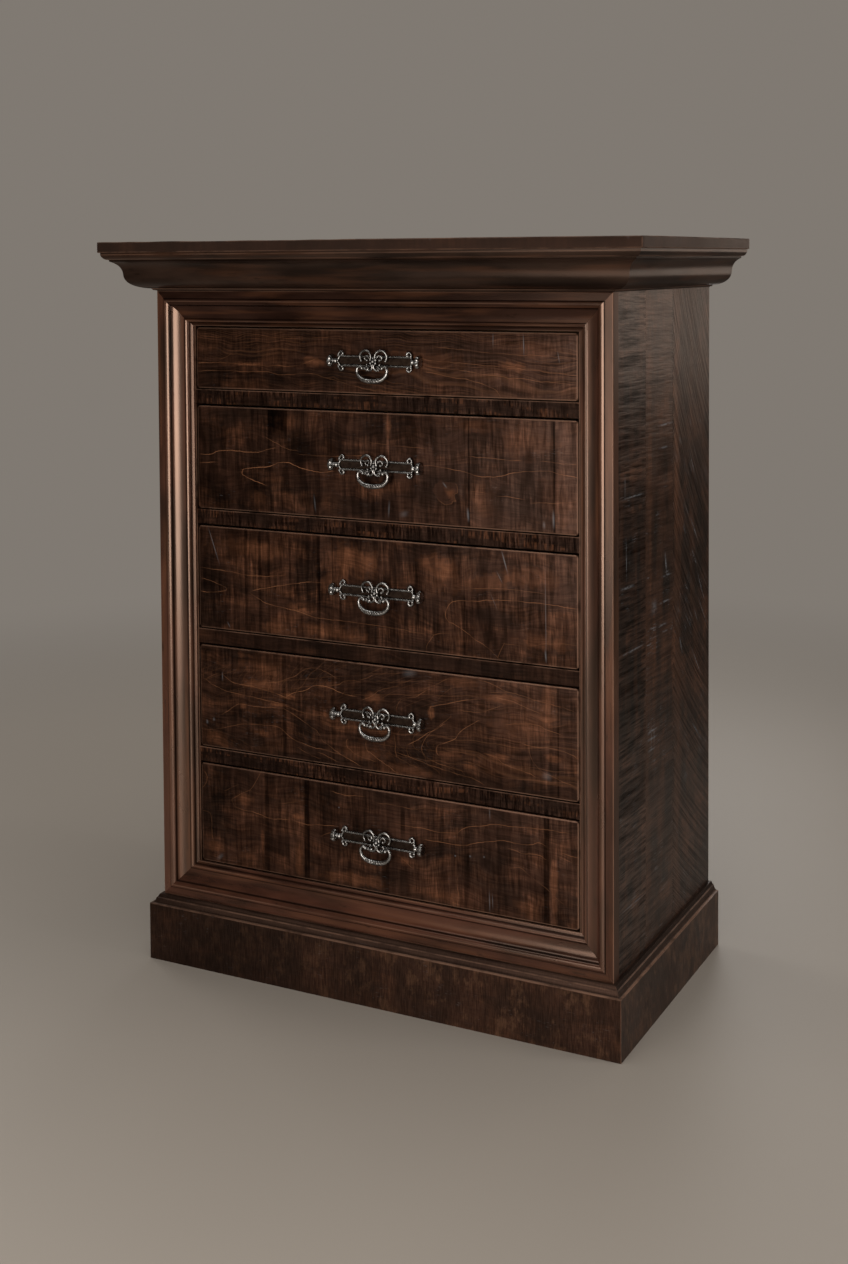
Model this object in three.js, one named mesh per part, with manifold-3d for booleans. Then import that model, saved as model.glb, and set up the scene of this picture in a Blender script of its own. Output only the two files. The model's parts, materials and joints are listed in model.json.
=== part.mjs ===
// Five-drawer highboy in dark stained rustic maple, with cast bail pulls.
// Millimetres, +Z up, front towards -Y, origin on the floor under the middle of the top board.
import * as THREE from "three";
import { mergeVertices } from "three/addons/utils/BufferGeometryUtils.js";
import Module from "manifold-3d";

const wasm = await Module();
wasm.setup();

// Driving sizes of the case
const overallHeight = 1422;
const bodyWidth = 950;
const bodyDepth = 540;
const topOverhang = 82;
const topThickness = 21;
const topEase = 1.5;
const crownHeight = 74;
const crownSetback = 5;
const plinthProjection = 20.7;
const plinthHeight = 127.5;

// Boards of the case
const panelThickness = 20;
const backThickness = 8;
const rabbetWidth = 10;
const faceThickness = 20;
const mouldingWidth = 69;
const mouldingDepth = 25;
const mitreGap = 0.4;

// Drawer openings and the rails between them. The openings below the top one, from the top down,
// share the height that it leaves.
const openingSideReveal = 3.7;
const openingTopReveal = 1;
const topOpeningHeight = 125;
const lowerOpeningShares = [416, 416, 416, 403];
const railHeight = 28;

// Frames that carry the drawers
const frameRailWidth = 50;
const runnerReach = 48;
const guideHeight = 15;

// Drawers and their fit
const sideGap = 2;
const topGap = 4;
const bottomGap = 2;
const fitGap = 0.3;
const frontThickness = 20;
const frontEase = 3;
const frontCorner = 6;
const drawerDepth = 480;
const drawerBoard = 12;
const sideDrop = 5;
const bottomPanel = 6;
const bottomLift = 12;
const grooveDepth = 6;
const tailPitch = 40;
const tailTipShare = 0.66;
const tailFlareShare = 0.14;

// Bail pull: the bar, its end brackets and finials, and its studs
const pullLength = 194;
const pullLift = 1.5;
const barLength = 156;
const barHeight = 16.5;
const barThickness = 6.5;
const bracketHeight = 39;
const bracketReach = 8;
const bracketTube = 2;
const finialRadius = 8;
const finialSeat = 2;
const trimDepth = 5;
const studSpacing = 76;
const studRadius = 2.5;
const studEnd = 6;
const nutRadius = 5;
const nutHeight = 4;

// Knot of scrolls at the middle of the pull
const bossRadius = 8;
const bossHeight = 16;
const knotDepth = 13;
const upperLoopRadius = 10.8;
const upperLoopAcross = 14.5;
const upperLoopRise = 9.5;
const lowerLoopRadius = 6.6;
const lowerLoopAcross = 8;
const lowerLoopDrop = 10;
const scrollTube = 2.2;

// Bail and the ears that hold it
const pivotDrop = 12;
const pivotDepth = 16;
const pinRadius = 1.4;
const pinClearance = 0.3;
const earInner = 12.6;
const earOuter = 17;
const earRadius = 3.4;
const ballRadius = 3.5;
const bailHalfWidth = 34;
const bailDrop = 29;
const bailRadius = 5;

// Cuts run past the faces that they cut by this much, and rounds are drawn in these many steps
const overrun = 1;
const curveSteps = 4;
const bevelSteps = 2;
const cornerSteps = 2;
const ballSides = 6;
const tubeSides = 5;
const pinSides = 8;
const nutSides = 6;

// Points nearer to each other than this are one point
const weldDistance = 0.0003;

// Places that follow from the sizes above. The body's outer front plane is at y = 0.
const bodyHalf = bodyWidth / 2;
const topUnderside = overallHeight - topThickness;
const crownBottom = topUnderside - crownHeight;
const faceFront = mouldingDepth;
const faceBack = faceFront + faceThickness;
const caseHalf = bodyHalf - panelThickness;
const backFront = bodyDepth - backThickness;
const openingHalf = bodyHalf - mouldingWidth - openingSideReveal;
const openingTop = crownBottom - mouldingWidth + openingTopReveal;
const openingBottom = plinthHeight + mouldingWidth;

// Finishes
const stain = (color, roughness) => new THREE.MeshStandardMaterial({ color, roughness, metalness: 0 });
const caseWood = stain(0x2a1c15, 0.42);
const mouldingWood = stain(0x2e1c13, 0.35);
const frontWood = stain(0x2c1a11, 0.42);
const innerWood = stain(0x9b7a50, 0.6);
const darkIron = new THREE.MeshStandardMaterial({ color: 0x4a4744, roughness: 0.35, metalness: 0.9 });

// Turns a closed geometry into a solid for joining and cutting
function solidOf(geometry) {
  const bare = geometry.clone();
  bare.deleteAttribute("normal");
  bare.deleteAttribute("uv");
  const merged = mergeVertices(bare, weldDistance);
  const vertProperties = new Float32Array(merged.attributes.position.array);
  const triVerts = new Uint32Array(merged.index.array);
  return new wasm.Manifold(new wasm.Mesh({ numProp: 3, vertProperties, triVerts }));
}

// Turns a solid back into a geometry
function geometryOf(solid) {
  const mesh = solid.getMesh();
  const geometry = new THREE.BufferGeometry();
  geometry.setAttribute("position", new THREE.BufferAttribute(mesh.vertProperties, mesh.numProp));
  geometry.setIndex(new THREE.BufferAttribute(mesh.triVerts, 1));
  geometry.computeVertexNormals();
  return geometry;
}

// Joins the first solid with the others
const join = (solids) => solids.reduce((whole, piece) => whole.add(piece));

// Cuts every other solid from the first
const cut = (whole, pieces) => pieces.reduce((left, piece) => left.subtract(piece), whole);

// A box between two corners
function boxGeometry([x0, y0, z0], [x1, y1, z1]) {
  const geometry = new THREE.BoxGeometry(x1 - x0, y1 - y0, z1 - z0);
  return geometry.translate((x0 + x1) / 2, (y0 + y1) / 2, (z0 + z1) / 2);
}

const boxSolid = (low, high) => solidOf(boxGeometry(low, high));

// A geometry from points and triangles, with its faces turned outwards
function closedGeometry(points, triangles) {
  const volume = triangles.reduce((sum, [a, b, c]) => {
    const normal = new THREE.Vector3().crossVectors(points[b], points[c]);
    return sum + points[a].dot(normal);
  }, 0);
  const faces = volume < 0 ? triangles.map(([a, b, c]) => [a, c, b]) : triangles;
  const geometry = new THREE.BufferGeometry().setFromPoints(points);
  geometry.setIndex(faces.flat());
  geometry.computeVertexNormals();
  return geometry;
}

// Draws a profile from shares of its width and height. Two numbers are a straight line to a point,
// six are a curve with its two guides and its end.
function profile(shares, width, height) {
  const path = new THREE.Path();
  shares.forEach((share, index) => {
    const point = share.map((value, axis) => value * (axis % 2 ? height : width));
    if (index === 0) path.moveTo(...point);
    else if (point.length === 2) path.lineTo(...point);
    else path.bezierCurveTo(...point);
  });
  return path.getPoints(curveSteps);
}

// A bar of one profile whose ends follow the profile, as a mitred moulding's do.
// place(across, up, along) gives a point, and from(across) and to(across) give the two ends.
function mitredBar(drawn, place, from, to) {
  const outline = THREE.ShapeUtils.isClockWise(drawn) ? [...drawn].reverse() : drawn;
  const points = [from, to].flatMap((end) => outline.map((p) => place(p.x, p.y, end(p.x))));
  const count = outline.length;
  const triangles = THREE.ShapeUtils.triangulateShape(outline, []).flatMap((corners) => {
    const backwards = THREE.ShapeUtils.isClockWise(corners.map((index) => outline[index]));
    const [a, b, c] = backwards ? [...corners].reverse() : corners;
    return [
      [a, c, b],
      [count + a, count + b, count + c],
    ];
  });
  for (let i = 0; i < count; i += 1) {
    const next = (i + 1) % count;
    triangles.push([i, next, count + next], [i, count + next, count + i]);
  }
  return closedGeometry(points, triangles);
}

// A round bar of changing thickness along points in the x-z plane, at one depth in front of y = 0
function scrollBar(points, radii, depth, ringSides) {
  const rings = points.map((point, index) => {
    const before = points[Math.max(index - 1, 0)];
    const after = points[Math.min(index + 1, points.length - 1)];
    const along = new THREE.Vector2().subVectors(after, before).normalize();
    return Array.from({ length: ringSides }, (_, side) => {
      const angle = (2 * Math.PI * side) / ringSides;
      const across = radii[index] * Math.cos(angle);
      const x = point.x - along.y * across;
      const z = point.y + along.x * across;
      return new THREE.Vector3(x, -depth + radii[index] * Math.sin(angle), z);
    });
  });
  const vertices = rings.flat();
  const triangles = [];
  for (let ring = 0; ring + 1 < rings.length; ring += 1) {
    for (let side = 0; side < ringSides; side += 1) {
      const a = ring * ringSides + side;
      const b = ring * ringSides + ((side + 1) % ringSides);
      triangles.push([a, b, a + ringSides], [b, b + ringSides, a + ringSides]);
    }
  }
  const last = (rings.length - 1) * ringSides;
  for (let side = 1; side + 1 < ringSides; side += 1) {
    triangles.push([0, side + 1, side], [last, last + side, last + side + 1]);
  }
  return closedGeometry(vertices, triangles);
}

// A small ball
function ball(radius, x, depth, z) {
  return solidOf(new THREE.SphereGeometry(radius, ballSides, ballSides / 2).translate(x, -depth, z));
}

// A round bar along x
function roundAlongX(radius, from, to, depth, z) {
  const bar = new THREE.CylinderGeometry(radius, radius, Math.abs(to - from), pinSides);
  return solidOf(bar.rotateZ(Math.PI / 2).translate((from + to) / 2, -depth, z));
}

// A round or many-sided bar along y, from y = from back to y = to
function roundAlongY(radius, from, to, x, z, barSides = pinSides) {
  const bar = new THREE.CylinderGeometry(radius, radius, to - from, barSides);
  return solidOf(bar.translate(x, (from + to) / 2, z));
}

const highboy = new THREE.Group();
highboy.name = "highboy";
highboy.position.y = -(bodyDepth - topOverhang) / 2;

// Adds one named piece
function add(name, geometry, material, parent = highboy) {
  const mesh = new THREE.Mesh(geometry, material);
  mesh.name = name;
  parent.add(mesh);
  return mesh;
}

const sides = [
  { side: "left", sign: -1 },
  { side: "right", sign: 1 },
];

// A flat piece drawn in plan and raised from z = from to z = to
function raised(points, from, to) {
  const shape = new THREE.Shape(points.map(([x, y]) => new THREE.Vector2(x, y)));
  const geometry = new THREE.ExtrudeGeometry(shape, { depth: to - from, bevelEnabled: false });
  return geometry.translate(0, 0, from);
}

// Side panels, rabbeted for the back
function sidePanel(sign) {
  const rabbet = caseHalf + rabbetWidth;
  const plan = [
    [caseHalf, faceFront],
    [bodyHalf, faceFront],
    [bodyHalf, bodyDepth],
    [rabbet, bodyDepth],
    [rabbet, backFront],
    [caseHalf, backFront],
  ];
  return raised(plan.map(([x, y]) => [sign * x, y]), 0, topUnderside);
}

sides.forEach(({ side, sign }) => add(`side_panel_${side}`, sidePanel(sign), caseWood));

// Back panel in the rabbets
const backHalf = caseHalf + rabbetWidth;
add("back_panel", boxGeometry([-backHalf, backFront, 0], [backHalf, bodyDepth, topUnderside]), caseWood);

// Openings, from the top down
const lowerHeights = openingTop - openingBottom - topOpeningHeight - lowerOpeningShares.length * railHeight;
const shareSum = lowerOpeningShares.reduce((sum, share) => sum + share);
const openings = [{ name: 1, top: openingTop, bottom: openingTop - topOpeningHeight }];
lowerOpeningShares.forEach((share) => {
  const above = openings[openings.length - 1];
  const top = above.bottom - railHeight;
  openings.push({ name: above.name + 1, top, bottom: top - (share * lowerHeights) / shareSum });
});
const lowestRail = openingBottom - railHeight;

// Face frame: stiles, and the rails above and below the openings
sides.forEach(({ side, sign }) => {
  const xs = [sign * openingHalf, sign * caseHalf].sort((a, b) => a - b);
  const low = [xs[0], faceFront, 0];
  const high = [xs[1], faceBack, topUnderside];
  add(`stile_${side}`, boxGeometry(low, high), caseWood);
});

function faceRail(name, from, to) {
  const low = [-openingHalf, faceFront, from];
  const high = [openingHalf, faceBack, to];
  add(name, boxGeometry(low, high), caseWood);
}

faceRail("top_rail", openingTop, topUnderside);
faceRail("bottom_rail", 0, lowestRail);

// A frame that carries one drawer. Its front rail shows between the fronts, its runners stand a
// little proud so that the front clears the rail, and its guides keep the drawer off the panels.
const runnerRise = bottomGap - fitGap;
const runnerInner = openingHalf - runnerReach;

function frameRing(bottom, railTop, runnerTop, front) {
  const inner = faceBack + frameRailWidth;
  const rear = backFront - frameRailWidth;
  const rail = boxSolid([-openingHalf, front, bottom], [openingHalf, inner, railTop]);
  const behind = boxSolid([-caseHalf, faceBack, bottom], [caseHalf, inner, railTop]);
  const back = boxSolid([-caseHalf, rear, bottom], [caseHalf, backFront, runnerTop]);
  const runners = sides.map(({ sign }) => {
    const xs = [sign * runnerInner, sign * caseHalf].sort((a, b) => a - b);
    return boxSolid([xs[0], faceBack, bottom], [xs[1], backFront, runnerTop]);
  });
  return join([rail, behind, back, ...runners]);
}

function webFrame(railTop) {
  const runnerTop = railTop + runnerRise;
  const guides = sides.map(({ sign }) => {
    const xs = [sign * openingHalf, sign * caseHalf].sort((a, b) => a - b);
    return boxSolid([xs[0], faceBack, railTop - railHeight], [xs[1], backFront, runnerTop + guideHeight]);
  });
  return join([frameRing(railTop - railHeight, railTop, runnerTop, faceFront), ...guides]);
}

openings.forEach(({ name, bottom }) => add(`web_frame_${name}`, geometryOf(webFrame(bottom)), caseWood));

// The frame above the top drawer stops it from tipping when it is pulled out
const kickerTop = openingTop + railHeight;
add("kicker_frame", geometryOf(frameRing(openingTop, kickerTop, kickerTop, faceBack)), innerWood);

// Base board behind the plinth, which the frame moulding stands on
add("base_board", boxGeometry([-bodyHalf, 0, 0], [bodyHalf, faceFront, plinthHeight]), caseWood);

// Picture-frame moulding round the drawers: across from the outer edge, and depth behind y = 0
const mouldingShares = [
  [0, 1],
  [0, 0.07],
  [0, 0.03, 0.012, 0, 0.03, 0],
  [0.225, 0],
  [0.24, -0.07],
  [0.3, -0.12, 0.385, -0.05, 0.413, 0.12],
  [0.44, 0.42, 0.6, 0.53, 0.79, 0.56],
  [0.84, 0.5, 0.9, 0.62, 0.908, 0.86],
  [1, 0.92],
  [1, 1],
];
const mouldingOutline = profile(mouldingShares, mouldingWidth, mouldingDepth);
const frameTop = crownBottom;
const frameBottom = plinthHeight;

sides.forEach(({ side, sign }) => {
  const place = (across, depth, along) => new THREE.Vector3(sign * (bodyHalf - across), depth, along);
  const from = (across) => frameBottom + across + mitreGap;
  const to = (across) => frameTop - across - mitreGap;
  add(`frame_moulding_${side}`, mitredBar(mouldingOutline, place, from, to), mouldingWood);
});

const levels = [
  { level: "bottom", edge: frameBottom, inwards: 1 },
  { level: "top", edge: frameTop, inwards: -1 },
];
levels.forEach(({ level, edge, inwards }) => {
  const place = (across, depth, along) => new THREE.Vector3(along, depth, edge + inwards * across);
  const from = (across) => across - bodyHalf;
  const to = (across) => bodyHalf - across;
  add(`frame_moulding_${level}`, mitredBar(mouldingOutline, place, from, to), mouldingWood);
});

// A moulding round the front and sides: a front piece between two mitres, and two side pieces.
// The front piece may have a block behind it, down to the board that carries it.
function roundFrontAndSides(name, outline, bottom, blocks, material) {
  const front = (out, up, along) => new THREE.Vector3(along, -out, bottom + up);
  const reach = (out) => bodyHalf + out - mitreGap;
  const bar = solidOf(mitredBar(outline, front, (out) => -reach(out), reach));
  add(`${name}_front`, geometryOf(join([bar, ...blocks])), material);
  sides.forEach(({ side, sign }) => {
    const place = (out, up, along) => new THREE.Vector3(sign * (bodyHalf + out), along, bottom + up);
    add(`${name}_${side}`, mitredBar(outline, place, (out) => -out, () => bodyDepth), material);
  });
}

// Crown: a small foot, a round, a hollow and a bead under the top board
const crownShares = [
  [0, 0],
  [0.065, 0.014],
  [0.1, 0.055],
  [0.36, 0.075, 0.585, 0.18, 0.597, 0.42],
  [0.61, 0.6, 0.68, 0.7, 0.84, 0.77],
  [0.85, 0.81],
  [0.9, 0.82],
  [0.94, 0.83, 1, 0.9, 1, 0.96],
  [1, 1],
  [0, 1],
];
const crownProjection = topOverhang - crownSetback;
const crownOutline = profile(crownShares, crownProjection, crownHeight);
const crownBlock = boxSolid([-bodyHalf, 0, crownBottom], [bodyHalf, faceFront, topUnderside]);
roundFrontAndSides("crown", crownOutline, crownBottom, [crownBlock], mouldingWood);

// Top board with eased edges
function topBoard() {
  const half = bodyHalf + topOverhang - topEase;
  const front = topEase - topOverhang;
  const back = bodyDepth - topEase;
  const shape = new THREE.Shape();
  shape.moveTo(-half, front);
  shape.lineTo(half, front);
  shape.lineTo(half, back);
  shape.lineTo(-half, back);
  shape.closePath();
  const geometry = new THREE.ExtrudeGeometry(shape, {
    depth: topThickness - 2 * topEase,
    bevelSize: topEase,
    bevelThickness: topEase,
    bevelSegments: bevelSteps,
  });
  return geometry.translate(0, 0, topUnderside + topEase);
}

add("top_board", topBoard(), caseWood);

// Plinth: flat boards with a moulded cap, worked in one piece
const plinthShares = [
  [0, 0],
  [1, 0],
  [1, 0.87],
  [0.82, 0.872],
  [0.7, 0.88, 0.6, 0.9, 0.55, 0.945],
  [0.44, 0.957],
  [0.4, 0.97, 0.36, 0.99, 0.29, 1],
  [0, 1],
];
const plinthOutline = profile(plinthShares, plinthProjection, plinthHeight);
roundFrontAndSides("plinth", plinthOutline, 0, [], caseWood);

// Drawer boards
const frontHalf = openingHalf - sideGap;
const sideInner = frontHalf - drawerBoard;
const frontBack = faceFront + frontThickness;
const drawerRear = faceFront + drawerDepth;
const backBoardFront = drawerRear - drawerBoard;

// Middles of the dovetails between two heights
function tailMiddles(bottom, top) {
  const count = Math.round((top - bottom) / tailPitch);
  const pitch = (top - bottom) / count;
  return Array.from({ length: count }, (_, index) => {
    return { middle: bottom + (index + 0.5) * pitch, pitch };
  });
}

// Corners of one dovetail, from its root at y = root to its tip, grown by a clearance
function tailCorners({ middle, pitch }, root, tip, grow) {
  const tipHalf = (tailTipShare * pitch) / 2;
  const rootHalf = tipHalf - tailFlareShare * Math.abs(tip - root);
  const outwards = Math.sign(tip - root);
  return [
    [root, middle - rootHalf - grow],
    [tip + outwards * grow, middle - tipHalf - grow],
    [tip + outwards * grow, middle + tipHalf + grow],
    [root, middle + rootHalf + grow],
  ];
}

// A piece drawn in the y-z plane, between two places along x
function sideways(points, x0, x1) {
  const shape = new THREE.Shape(points.map(([y, z]) => new THREE.Vector2(y, z)));
  const geometry = new THREE.ExtrudeGeometry(shape, { depth: x1 - x0, bevelEnabled: false });
  const toYz = new THREE.Matrix4().makeBasis(
    new THREE.Vector3(0, 1, 0),
    new THREE.Vector3(0, 0, 1),
    new THREE.Vector3(1, 0, 0),
  );
  return geometry.applyMatrix4(toYz).translate(x0, 0, 0);
}

// A drawer side with its dovetails and the groove for the bottom
function drawerSide(sign, bottom, top) {
  const tails = tailMiddles(bottom, top);
  const fore = tails.flatMap((tail) => tailCorners(tail, frontBack, frontBack - drawerBoard, 0));
  const aft = tails.flatMap((tail) => tailCorners(tail, backBoardFront, drawerRear, 0)).reverse();
  const outline = [
    [frontBack, bottom],
    ...fore,
    [frontBack, top],
    [backBoardFront, top],
    ...aft,
    [backBoardFront, bottom],
  ];
  const xs = [sign * sideInner, sign * frontHalf].sort((a, b) => a - b);
  const groove = [sign * (sideInner - overrun), sign * (sideInner + grooveDepth)].sort((a, b) => a - b);
  const low = [groove[0], faceFront, bottom + bottomLift];
  const high = [groove[1], drawerRear + overrun, bottom + bottomLift + bottomPanel + 2 * fitGap];
  return geometryOf(cut(solidOf(sideways(outline, xs[0], xs[1])), [boxSolid(low, high)]));
}

// Spaces that the dovetails take in the boards between the sides
function tailSockets(bottom, top, root, tip) {
  return sides.flatMap(({ sign }) => {
    const xs = [sign * (sideInner - fitGap), sign * (frontHalf + overrun)].sort((a, b) => a - b);
    return tailMiddles(bottom, top).map((tail) => {
      const corners = tailCorners(tail, root, tip, fitGap);
      const outwards = Math.sign(tip - root);
      const mouth = [
        [root - outwards * overrun, corners[0][1]],
        ...corners,
        [root - outwards * overrun, corners[3][1]],
      ];
      return solidOf(sideways(mouth, xs[0], xs[1]));
    });
  });
}

// A rectangle with round corners
function roundedShape(halfWidth, bottom, top, radius) {
  const shape = new THREE.Shape();
  shape.moveTo(radius - halfWidth, bottom);
  shape.lineTo(halfWidth - radius, bottom);
  shape.absarc(halfWidth - radius, bottom + radius, radius, -Math.PI / 2, 0);
  shape.lineTo(halfWidth, top - radius);
  shape.absarc(halfWidth - radius, top - radius, radius, 0, Math.PI / 2);
  shape.lineTo(radius - halfWidth, top);
  shape.absarc(radius - halfWidth, top - radius, radius, Math.PI / 2, Math.PI);
  shape.lineTo(-halfWidth, bottom + radius);
  shape.absarc(radius - halfWidth, bottom + radius, radius, Math.PI, 1.5 * Math.PI);
  return shape;
}

// A drawer front with eased edges, dovetail sockets, the groove for the bottom and the stud holes
function drawerFront(bottom, top, boxTop, pullHeight) {
  const low = bottom + frontEase;
  const high = top - frontEase;
  const shape = roundedShape(frontHalf - frontEase, low, high, frontCorner - frontEase);
  const blank = new THREE.ExtrudeGeometry(shape, {
    depth: frontThickness,
    bevelSize: frontEase,
    bevelThickness: frontEase,
    bevelSegments: bevelSteps,
    curveSegments: cornerSteps,
  });
  blank.rotateX(Math.PI / 2).scale(1, -1, 1);
  const turned = closedFrom(blank).translate(0, faceFront + frontEase, 0);
  const rear = boxSolid(
    [-bodyHalf, frontBack, bottom - overrun],
    [bodyHalf, frontBack + frontThickness, top + overrun],
  );
  const grooveLow = [-(sideInner + grooveDepth), frontBack - grooveDepth, bottom + bottomLift];
  const grooveTop = bottom + bottomLift + bottomPanel + 2 * fitGap;
  const groove = boxSolid(grooveLow, [sideInner + grooveDepth, frontBack + overrun, grooveTop]);
  const holes = sides.map(({ sign }) => {
    const x = (sign * studSpacing) / 2;
    return roundAlongY(studRadius + fitGap, faceFront - overrun, frontBack + overrun, x, pullHeight);
  });
  const sockets = tailSockets(bottom, boxTop, frontBack, frontBack - drawerBoard);
  return geometryOf(cut(solidOf(turned), [rear, groove, ...holes, ...sockets]));
}

// The same faces, turned outwards again after a mirror
function closedFrom(geometry) {
  const bare = geometry.clone().deleteAttribute("normal").deleteAttribute("uv");
  const merged = mergeVertices(bare, weldDistance);
  const position = merged.attributes.position;
  const points = [];
  for (let i = 0; i < position.count; i += 1) {
    points.push(new THREE.Vector3().fromBufferAttribute(position, i));
  }
  const corners = [...merged.index.array];
  const triangles = [];
  while (corners.length > 0) triangles.push(corners.splice(0, 3));
  return closedGeometry(points, triangles);
}

// A drawer back, which stands on the bottom panel
function drawerBack(bottom, top) {
  const panelTop = bottom + bottomLift + bottomPanel + 2 * fitGap;
  const board = boxSolid([-frontHalf, backBoardFront, panelTop], [frontHalf, drawerRear, top]);
  return geometryOf(cut(board, tailSockets(bottom, top, backBoardFront, drawerRear)));
}

// A drawer bottom in its grooves
function drawerBottom(bottom) {
  const half = sideInner + grooveDepth - fitGap;
  const low = [-half, frontBack - grooveDepth + fitGap, bottom + bottomLift + fitGap];
  const high = [half, drawerRear, bottom + bottomLift + fitGap + bottomPanel];
  return boxGeometry(low, high);
}

// Pulls. They are drawn round the middle of the bar, with the drawer's face at y = 0.
const mirrored = (points) => points.map(([x, z]) => new THREE.Vector2(-x, z));

// Bar with a raised edge along its top and bottom
const barShares = [
  [-0.5, 0],
  [0.5, 0],
  [0.5, 0.7],
  [0.45, 1],
  [0.34, 1],
  [0.28, 0.66],
  [-0.28, 0.66],
  [-0.34, 1],
  [-0.45, 1],
  [-0.5, 0.7],
];

function pullBar() {
  const section = profile(barShares, barHeight, barThickness);
  const place = (up, out, along) => new THREE.Vector3(along, -out, up);
  return solidOf(mitredBar(section, place, () => -barLength / 2, () => barLength / 2));
}

// Bracket across each end of the bar: a double scroll that swells at its middle and at its tips.
// Each row is a place outwards, a place upwards and a thickness.
const bracketShares = [
  [0, 0.72, 1.3],
  [0.08, 0.92, 1.3],
  [0.5, 1, 1],
  [0.85, 0.72, 0.9],
  [0.7, 0.36, 0.9],
  [1, 0.1, 1.6],
  [1, -0.1, 1.6],
  [0.7, -0.36, 0.9],
  [0.85, -0.72, 0.9],
  [0.5, -1, 1],
  [0.08, -0.92, 1.3],
  [0, -0.72, 1.3],
];

function pullBracket(sign) {
  const root = barLength / 2 - bracketReach;
  const height = bracketHeight / 2 - bracketTube;
  const points = bracketShares.map(([out, up]) => {
    return new THREE.Vector2(sign * (root + out * bracketReach), up * height);
  });
  const radii = bracketShares.map(([, , thickness]) => thickness * bracketTube);
  return solidOf(scrollBar(points, radii, trimDepth, tubeSides));
}

// Flared finial past each bracket: radius shares against places along the finial
const finialShares = [
  [0, 0],
  [0.42, 0],
  [0.34, 0.35],
  [0.5, 0.62],
  [1, 0.8],
  [1, 0.93],
  [0.7, 1],
  [0, 1],
];

function pullFinial(sign) {
  const root = barLength / 2 - finialSeat;
  const outline = profile(finialShares, finialRadius, pullLength / 2 - root);
  const turned = new THREE.LatheGeometry(outline, pinSides).rotateZ((-sign * Math.PI) / 2);
  return solidOf(closedFrom(turned).translate(sign * root, -trimDepth, 0));
}

// Knot of four looped scrolls on a domed boss. Each scroll swells to a bead at its tip.
const loopThicknessShares = [1, 1, 1, 1, 0.9, 0.8, 1.4, 1.2];
const upperLoopDegrees = { start: 215, end: -30 };
const lowerLoopDegrees = { start: 120, end: 390 };

function loopScroll(sign, across, rise, radius, { start, end }) {
  const points = loopThicknessShares.map((_, index) => {
    const turned = index / (loopThicknessShares.length - 1);
    const angle = THREE.MathUtils.degToRad(THREE.MathUtils.lerp(start, end, turned));
    return new THREE.Vector2(sign * (across + radius * Math.cos(angle)), rise + radius * Math.sin(angle));
  });
  const radii = loopThicknessShares.map((share) => share * scrollTube);
  return solidOf(scrollBar(points, radii, knotDepth, tubeSides));
}

const bossShares = [
  [0, 0],
  [1, 0],
  [0.8, 0.35],
  [0.75, 0.7],
  [0.55, 0.92],
  [0, 1],
];

function pullKnot() {
  const outline = profile(bossShares, bossRadius, bossHeight);
  const boss = solidOf(closedFrom(new THREE.LatheGeometry(outline, pinSides).rotateX(Math.PI)));
  const loops = sides.flatMap(({ sign }) => [
    loopScroll(sign, upperLoopAcross, upperLoopRise, upperLoopRadius, upperLoopDegrees),
    loopScroll(sign, lowerLoopAcross, -lowerLoopDrop, lowerLoopRadius, lowerLoopDegrees),
  ]);
  return join([boss, ...loops]);
}

// Ears for the bail's pins, with their bores
function pullEars() {
  return sides.map(({ sign }) => {
    return roundAlongX(earRadius, sign * earInner, sign * earOuter, pivotDepth, -pivotDrop);
  });
}

function earBores() {
  return sides.map(({ sign }) => {
    const bore = pinRadius + pinClearance;
    const from = sign * (earInner - overrun);
    const to = sign * (earOuter + overrun);
    return roundAlongX(bore, from, to, pivotDepth, -pivotDrop);
  });
}

// Studs through the drawer front, each with its nut inside the drawer
function pullStuds() {
  return sides.flatMap(({ sign }) => {
    const x = (sign * studSpacing) / 2;
    return [
      roundAlongY(studRadius, -barThickness / 2, frontThickness + studEnd, x, 0),
      roundAlongY(nutRadius, frontThickness, frontThickness + nutHeight, x, 0, nutSides),
    ];
  });
}

function pullPlate() {
  const casting = join([
    pullBar(),
    ...sides.flatMap(({ sign }) => [pullBracket(sign), pullFinial(sign)]),
    pullKnot(),
    ...pullEars(),
  ]);
  const wide = pullLength;
  const behindFace = boxSolid([-wide, 0, -wide], [wide, wide, wide]);
  return geometryOf(join([cut(casting, [behindFace, ...earBores()]), ...pullStuds()]));
}

// Bail: its middle line from one ball down and round to the other, and its thickness on the way
const bailLineShares = [
  [0.615, 0],
  [0.75, 0.093],
  [0.88, 0.017],
  [0.92, -0.207],
  [0.84, -0.483],
  [0.6, -0.707],
  [0.29, -0.803],
  [0, -0.828],
];
const bailThicknessShares = [0.52, 0.52, 0.54, 0.58, 0.64, 0.8, 0.96, 1];

function pullBail() {
  const half = bailLineShares.map(([x, z]) => [x * bailHalfWidth, z * bailDrop]);
  const right = half.map(([x, z]) => new THREE.Vector2(x, z));
  const points = [...mirrored(half), ...right.slice(0, -1).reverse()];
  const thickness = [...bailThicknessShares, ...bailThicknessShares.slice(0, -1).reverse()];
  const radii = thickness.map((share) => share * bailRadius);
  const ends = sides.flatMap(({ sign }) => [
    ball(ballRadius, sign * right[0].x, 0, 0),
    roundAlongX(pinRadius, sign * (earInner + pinClearance), sign * right[0].x, 0, 0),
  ]);
  return geometryOf(join([solidOf(scrollBar(points, radii, 0, ballSides)), ...ends]));
}

const plateGeometry = pullPlate();
const bailGeometry = pullBail();

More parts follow.
